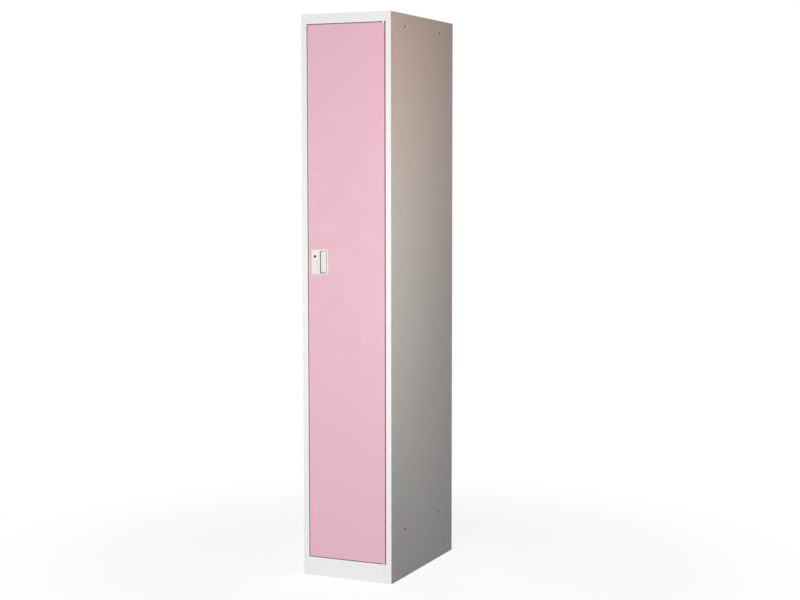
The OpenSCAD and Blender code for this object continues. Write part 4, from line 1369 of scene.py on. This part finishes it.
@dataclass
class Studio:
    """Pale floor, plain surroundings, soft lamps and the camera."""

    eye: tuple[float, float, float] = (2.18783, -4.70735, 1.3204)
    yaw: float = 24.195
    pitch: float = -4.89
    roll: float = 0.04
    lens: float = 71.19
    sensor: float = 36.0
    sight: tuple[float, float] = (0.05, 60.0)
    white: Colour = (1.0, 1.0, 1.0)
    around: Colour = (0.022, 0.022, 0.023)
    paper: Colour = (0.34, 0.34, 0.35)
    glow: float = 0.845
    fade: tuple[float, float] = (0.5, 1.6)
    floor_half: float = 14.0
    lamps: tuple[Lamp, ...] = (
        Lamp("key", (0.45, -6.6, 1.3), (0.0, 0.0, 0.95), (2.4, 2.0), 189.0),
        Lamp("sheen", (-3.3, -6.2, 0.7), (0.0, 0.0, 0.9), (2.4, 1.6), 150.0),
        Lamp("low_fill", (-0.4, -3.3, 0.15), (0.0, -0.2, 0.0), (1.2, 0.4), 14.0),
        Lamp("side_fill", (0.88, -0.52, 1.06), (0.15, -0.06, 1.06), (0.4, 1.2), 3.6, (1.0, 1.0, 0.9)),
        Lamp("warm_fill", (0.85, -0.36, 1.75), (0.15, 0.0, 1.5), (0.4, 0.6), 1.3, (1.0, 0.3, 0.05)),
        Lamp("rear_fill", (-2.4, 4.6, 0.8), (0.0, 0.2, 1.0), (2.4, 1.4), 90.0),
        Lamp("top_fill", (0.0, 0.0, 2.35), (0.0, 0.0, 1.79), (0.24, 0.4), 1.6),
    )

    def surroundings(self) -> None:
        """Make the world: white where it is seen or mirrored, a plain grey level as light."""
        world = bpy.data.worlds.new("studio")
        bpy.context.scene.world = world
        world.use_nodes = True
        world.node_tree.nodes.clear()
        g = Graph(world.node_tree)
        path = g.add("ShaderNodeLightPath").outputs
        mirrored = g.math("MAXIMUM", path["Is Glossy Ray"], path["Is Transmission Ray"])
        seen = g.math("MAXIMUM", path["Is Camera Ray"], mirrored)
        grey = g.add("ShaderNodeBackground", {"Color": self.around, "Strength": 1.0})
        white = g.add("ShaderNodeBackground", {"Color": self.white, "Strength": 1.0})
        both = g.add("ShaderNodeMixShader", {0: seen, 1: grey.outputs[0], 2: white.outputs[0]})
        g.add("ShaderNodeOutputWorld", {0: both.outputs[0]})

    def floor(self) -> None:
        """Lay a wide floor that looks white and keeps the object's soft shadow."""
        bm = bmesh.new()
        bmesh.ops.create_grid(bm, x_segments=8, y_segments=8, size=self.floor_half)
        obj = finished_mesh(bm, "studio_floor")
        matter = bpy.data.materials.new("studio_floor")
        matter.use_nodes = True
        matter.node_tree.nodes.clear()
        g = Graph(matter.node_tree)
        path = g.add("ShaderNodeLightPath").outputs
        seen = g.math("MAXIMUM", path["Is Camera Ray"], path["Is Glossy Ray"])
        spot = g.add("ShaderNodeTexCoord").outputs["Object"]
        away = g.add("ShaderNodeVectorMath", {0: spot}, operation="LENGTH").outputs["Value"]
        near = g.steps(away, *self.fade, out_lo=1.0, out_hi=0.0)
        paper = g.add("ShaderNodeBsdfDiffuse", {"Color": self.paper})
        glow = g.add("ShaderNodeEmission", {"Color": self.white, "Strength": g.times(seen, self.glow)})
        lit = g.add("ShaderNodeAddShader", {0: paper.outputs[0], 1: glow.outputs[0]})
        plain = g.add("ShaderNodeEmission", {"Color": self.white, "Strength": 1.0})
        mask = g.times(seen, g.minus(1.0, near))
        both = g.add("ShaderNodeMixShader", {0: mask, 1: lit.outputs[0], 2: plain.outputs[0]})
        g.add("ShaderNodeOutputMaterial", {"Surface": both.outputs[0]})
        obj.data.materials.append(matter)

    def camera(self) -> None:
        """Place the camera at the photographed view."""
        yaw, pitch = math.radians(self.yaw), math.radians(self.pitch)
        ahead = Vector((-math.sin(yaw) * math.cos(pitch), math.cos(yaw) * math.cos(pitch), math.sin(pitch)))
        data = bpy.data.cameras.new("view")
        data.lens = self.lens
        data.sensor_width = self.sensor
        data.sensor_fit = "HORIZONTAL"
        data.clip_start, data.clip_end = self.sight
        obj = bpy.data.objects.new("view", data)
        bpy.context.scene.collection.objects.link(obj)
        obj.location = self.eye
        turn = Quaternion(ahead, math.radians(self.roll)) @ ahead.to_track_quat("-Z", "Y")
        obj.rotation_euler = turn.to_euler()
        bpy.context.scene.camera = obj

    def build(self) -> None:
        """Set up the studio."""
        self.camera()
        self.surroundings()
        self.floor()
        for lamp in self.lamps:
            lamp.build()
        bpy.context.scene.view_settings.view_transform = "Standard"


def main() -> None:
    """Build the studio and every sub-assembly in order."""
    logging.basicConfig(level=logging.INFO, format="%(name)s: %(message)s")
    Studio().build()
    shop = Workshop()
    for assembly in (CabinetShell, DoorPanel, Pivots, PullSet, CamLock, MagnetCatch, ShelfAndRail,
                     DoorFittings, UmbrellaStand):
        assembly(shop).build()


if __name__ == "__main__":
    main()
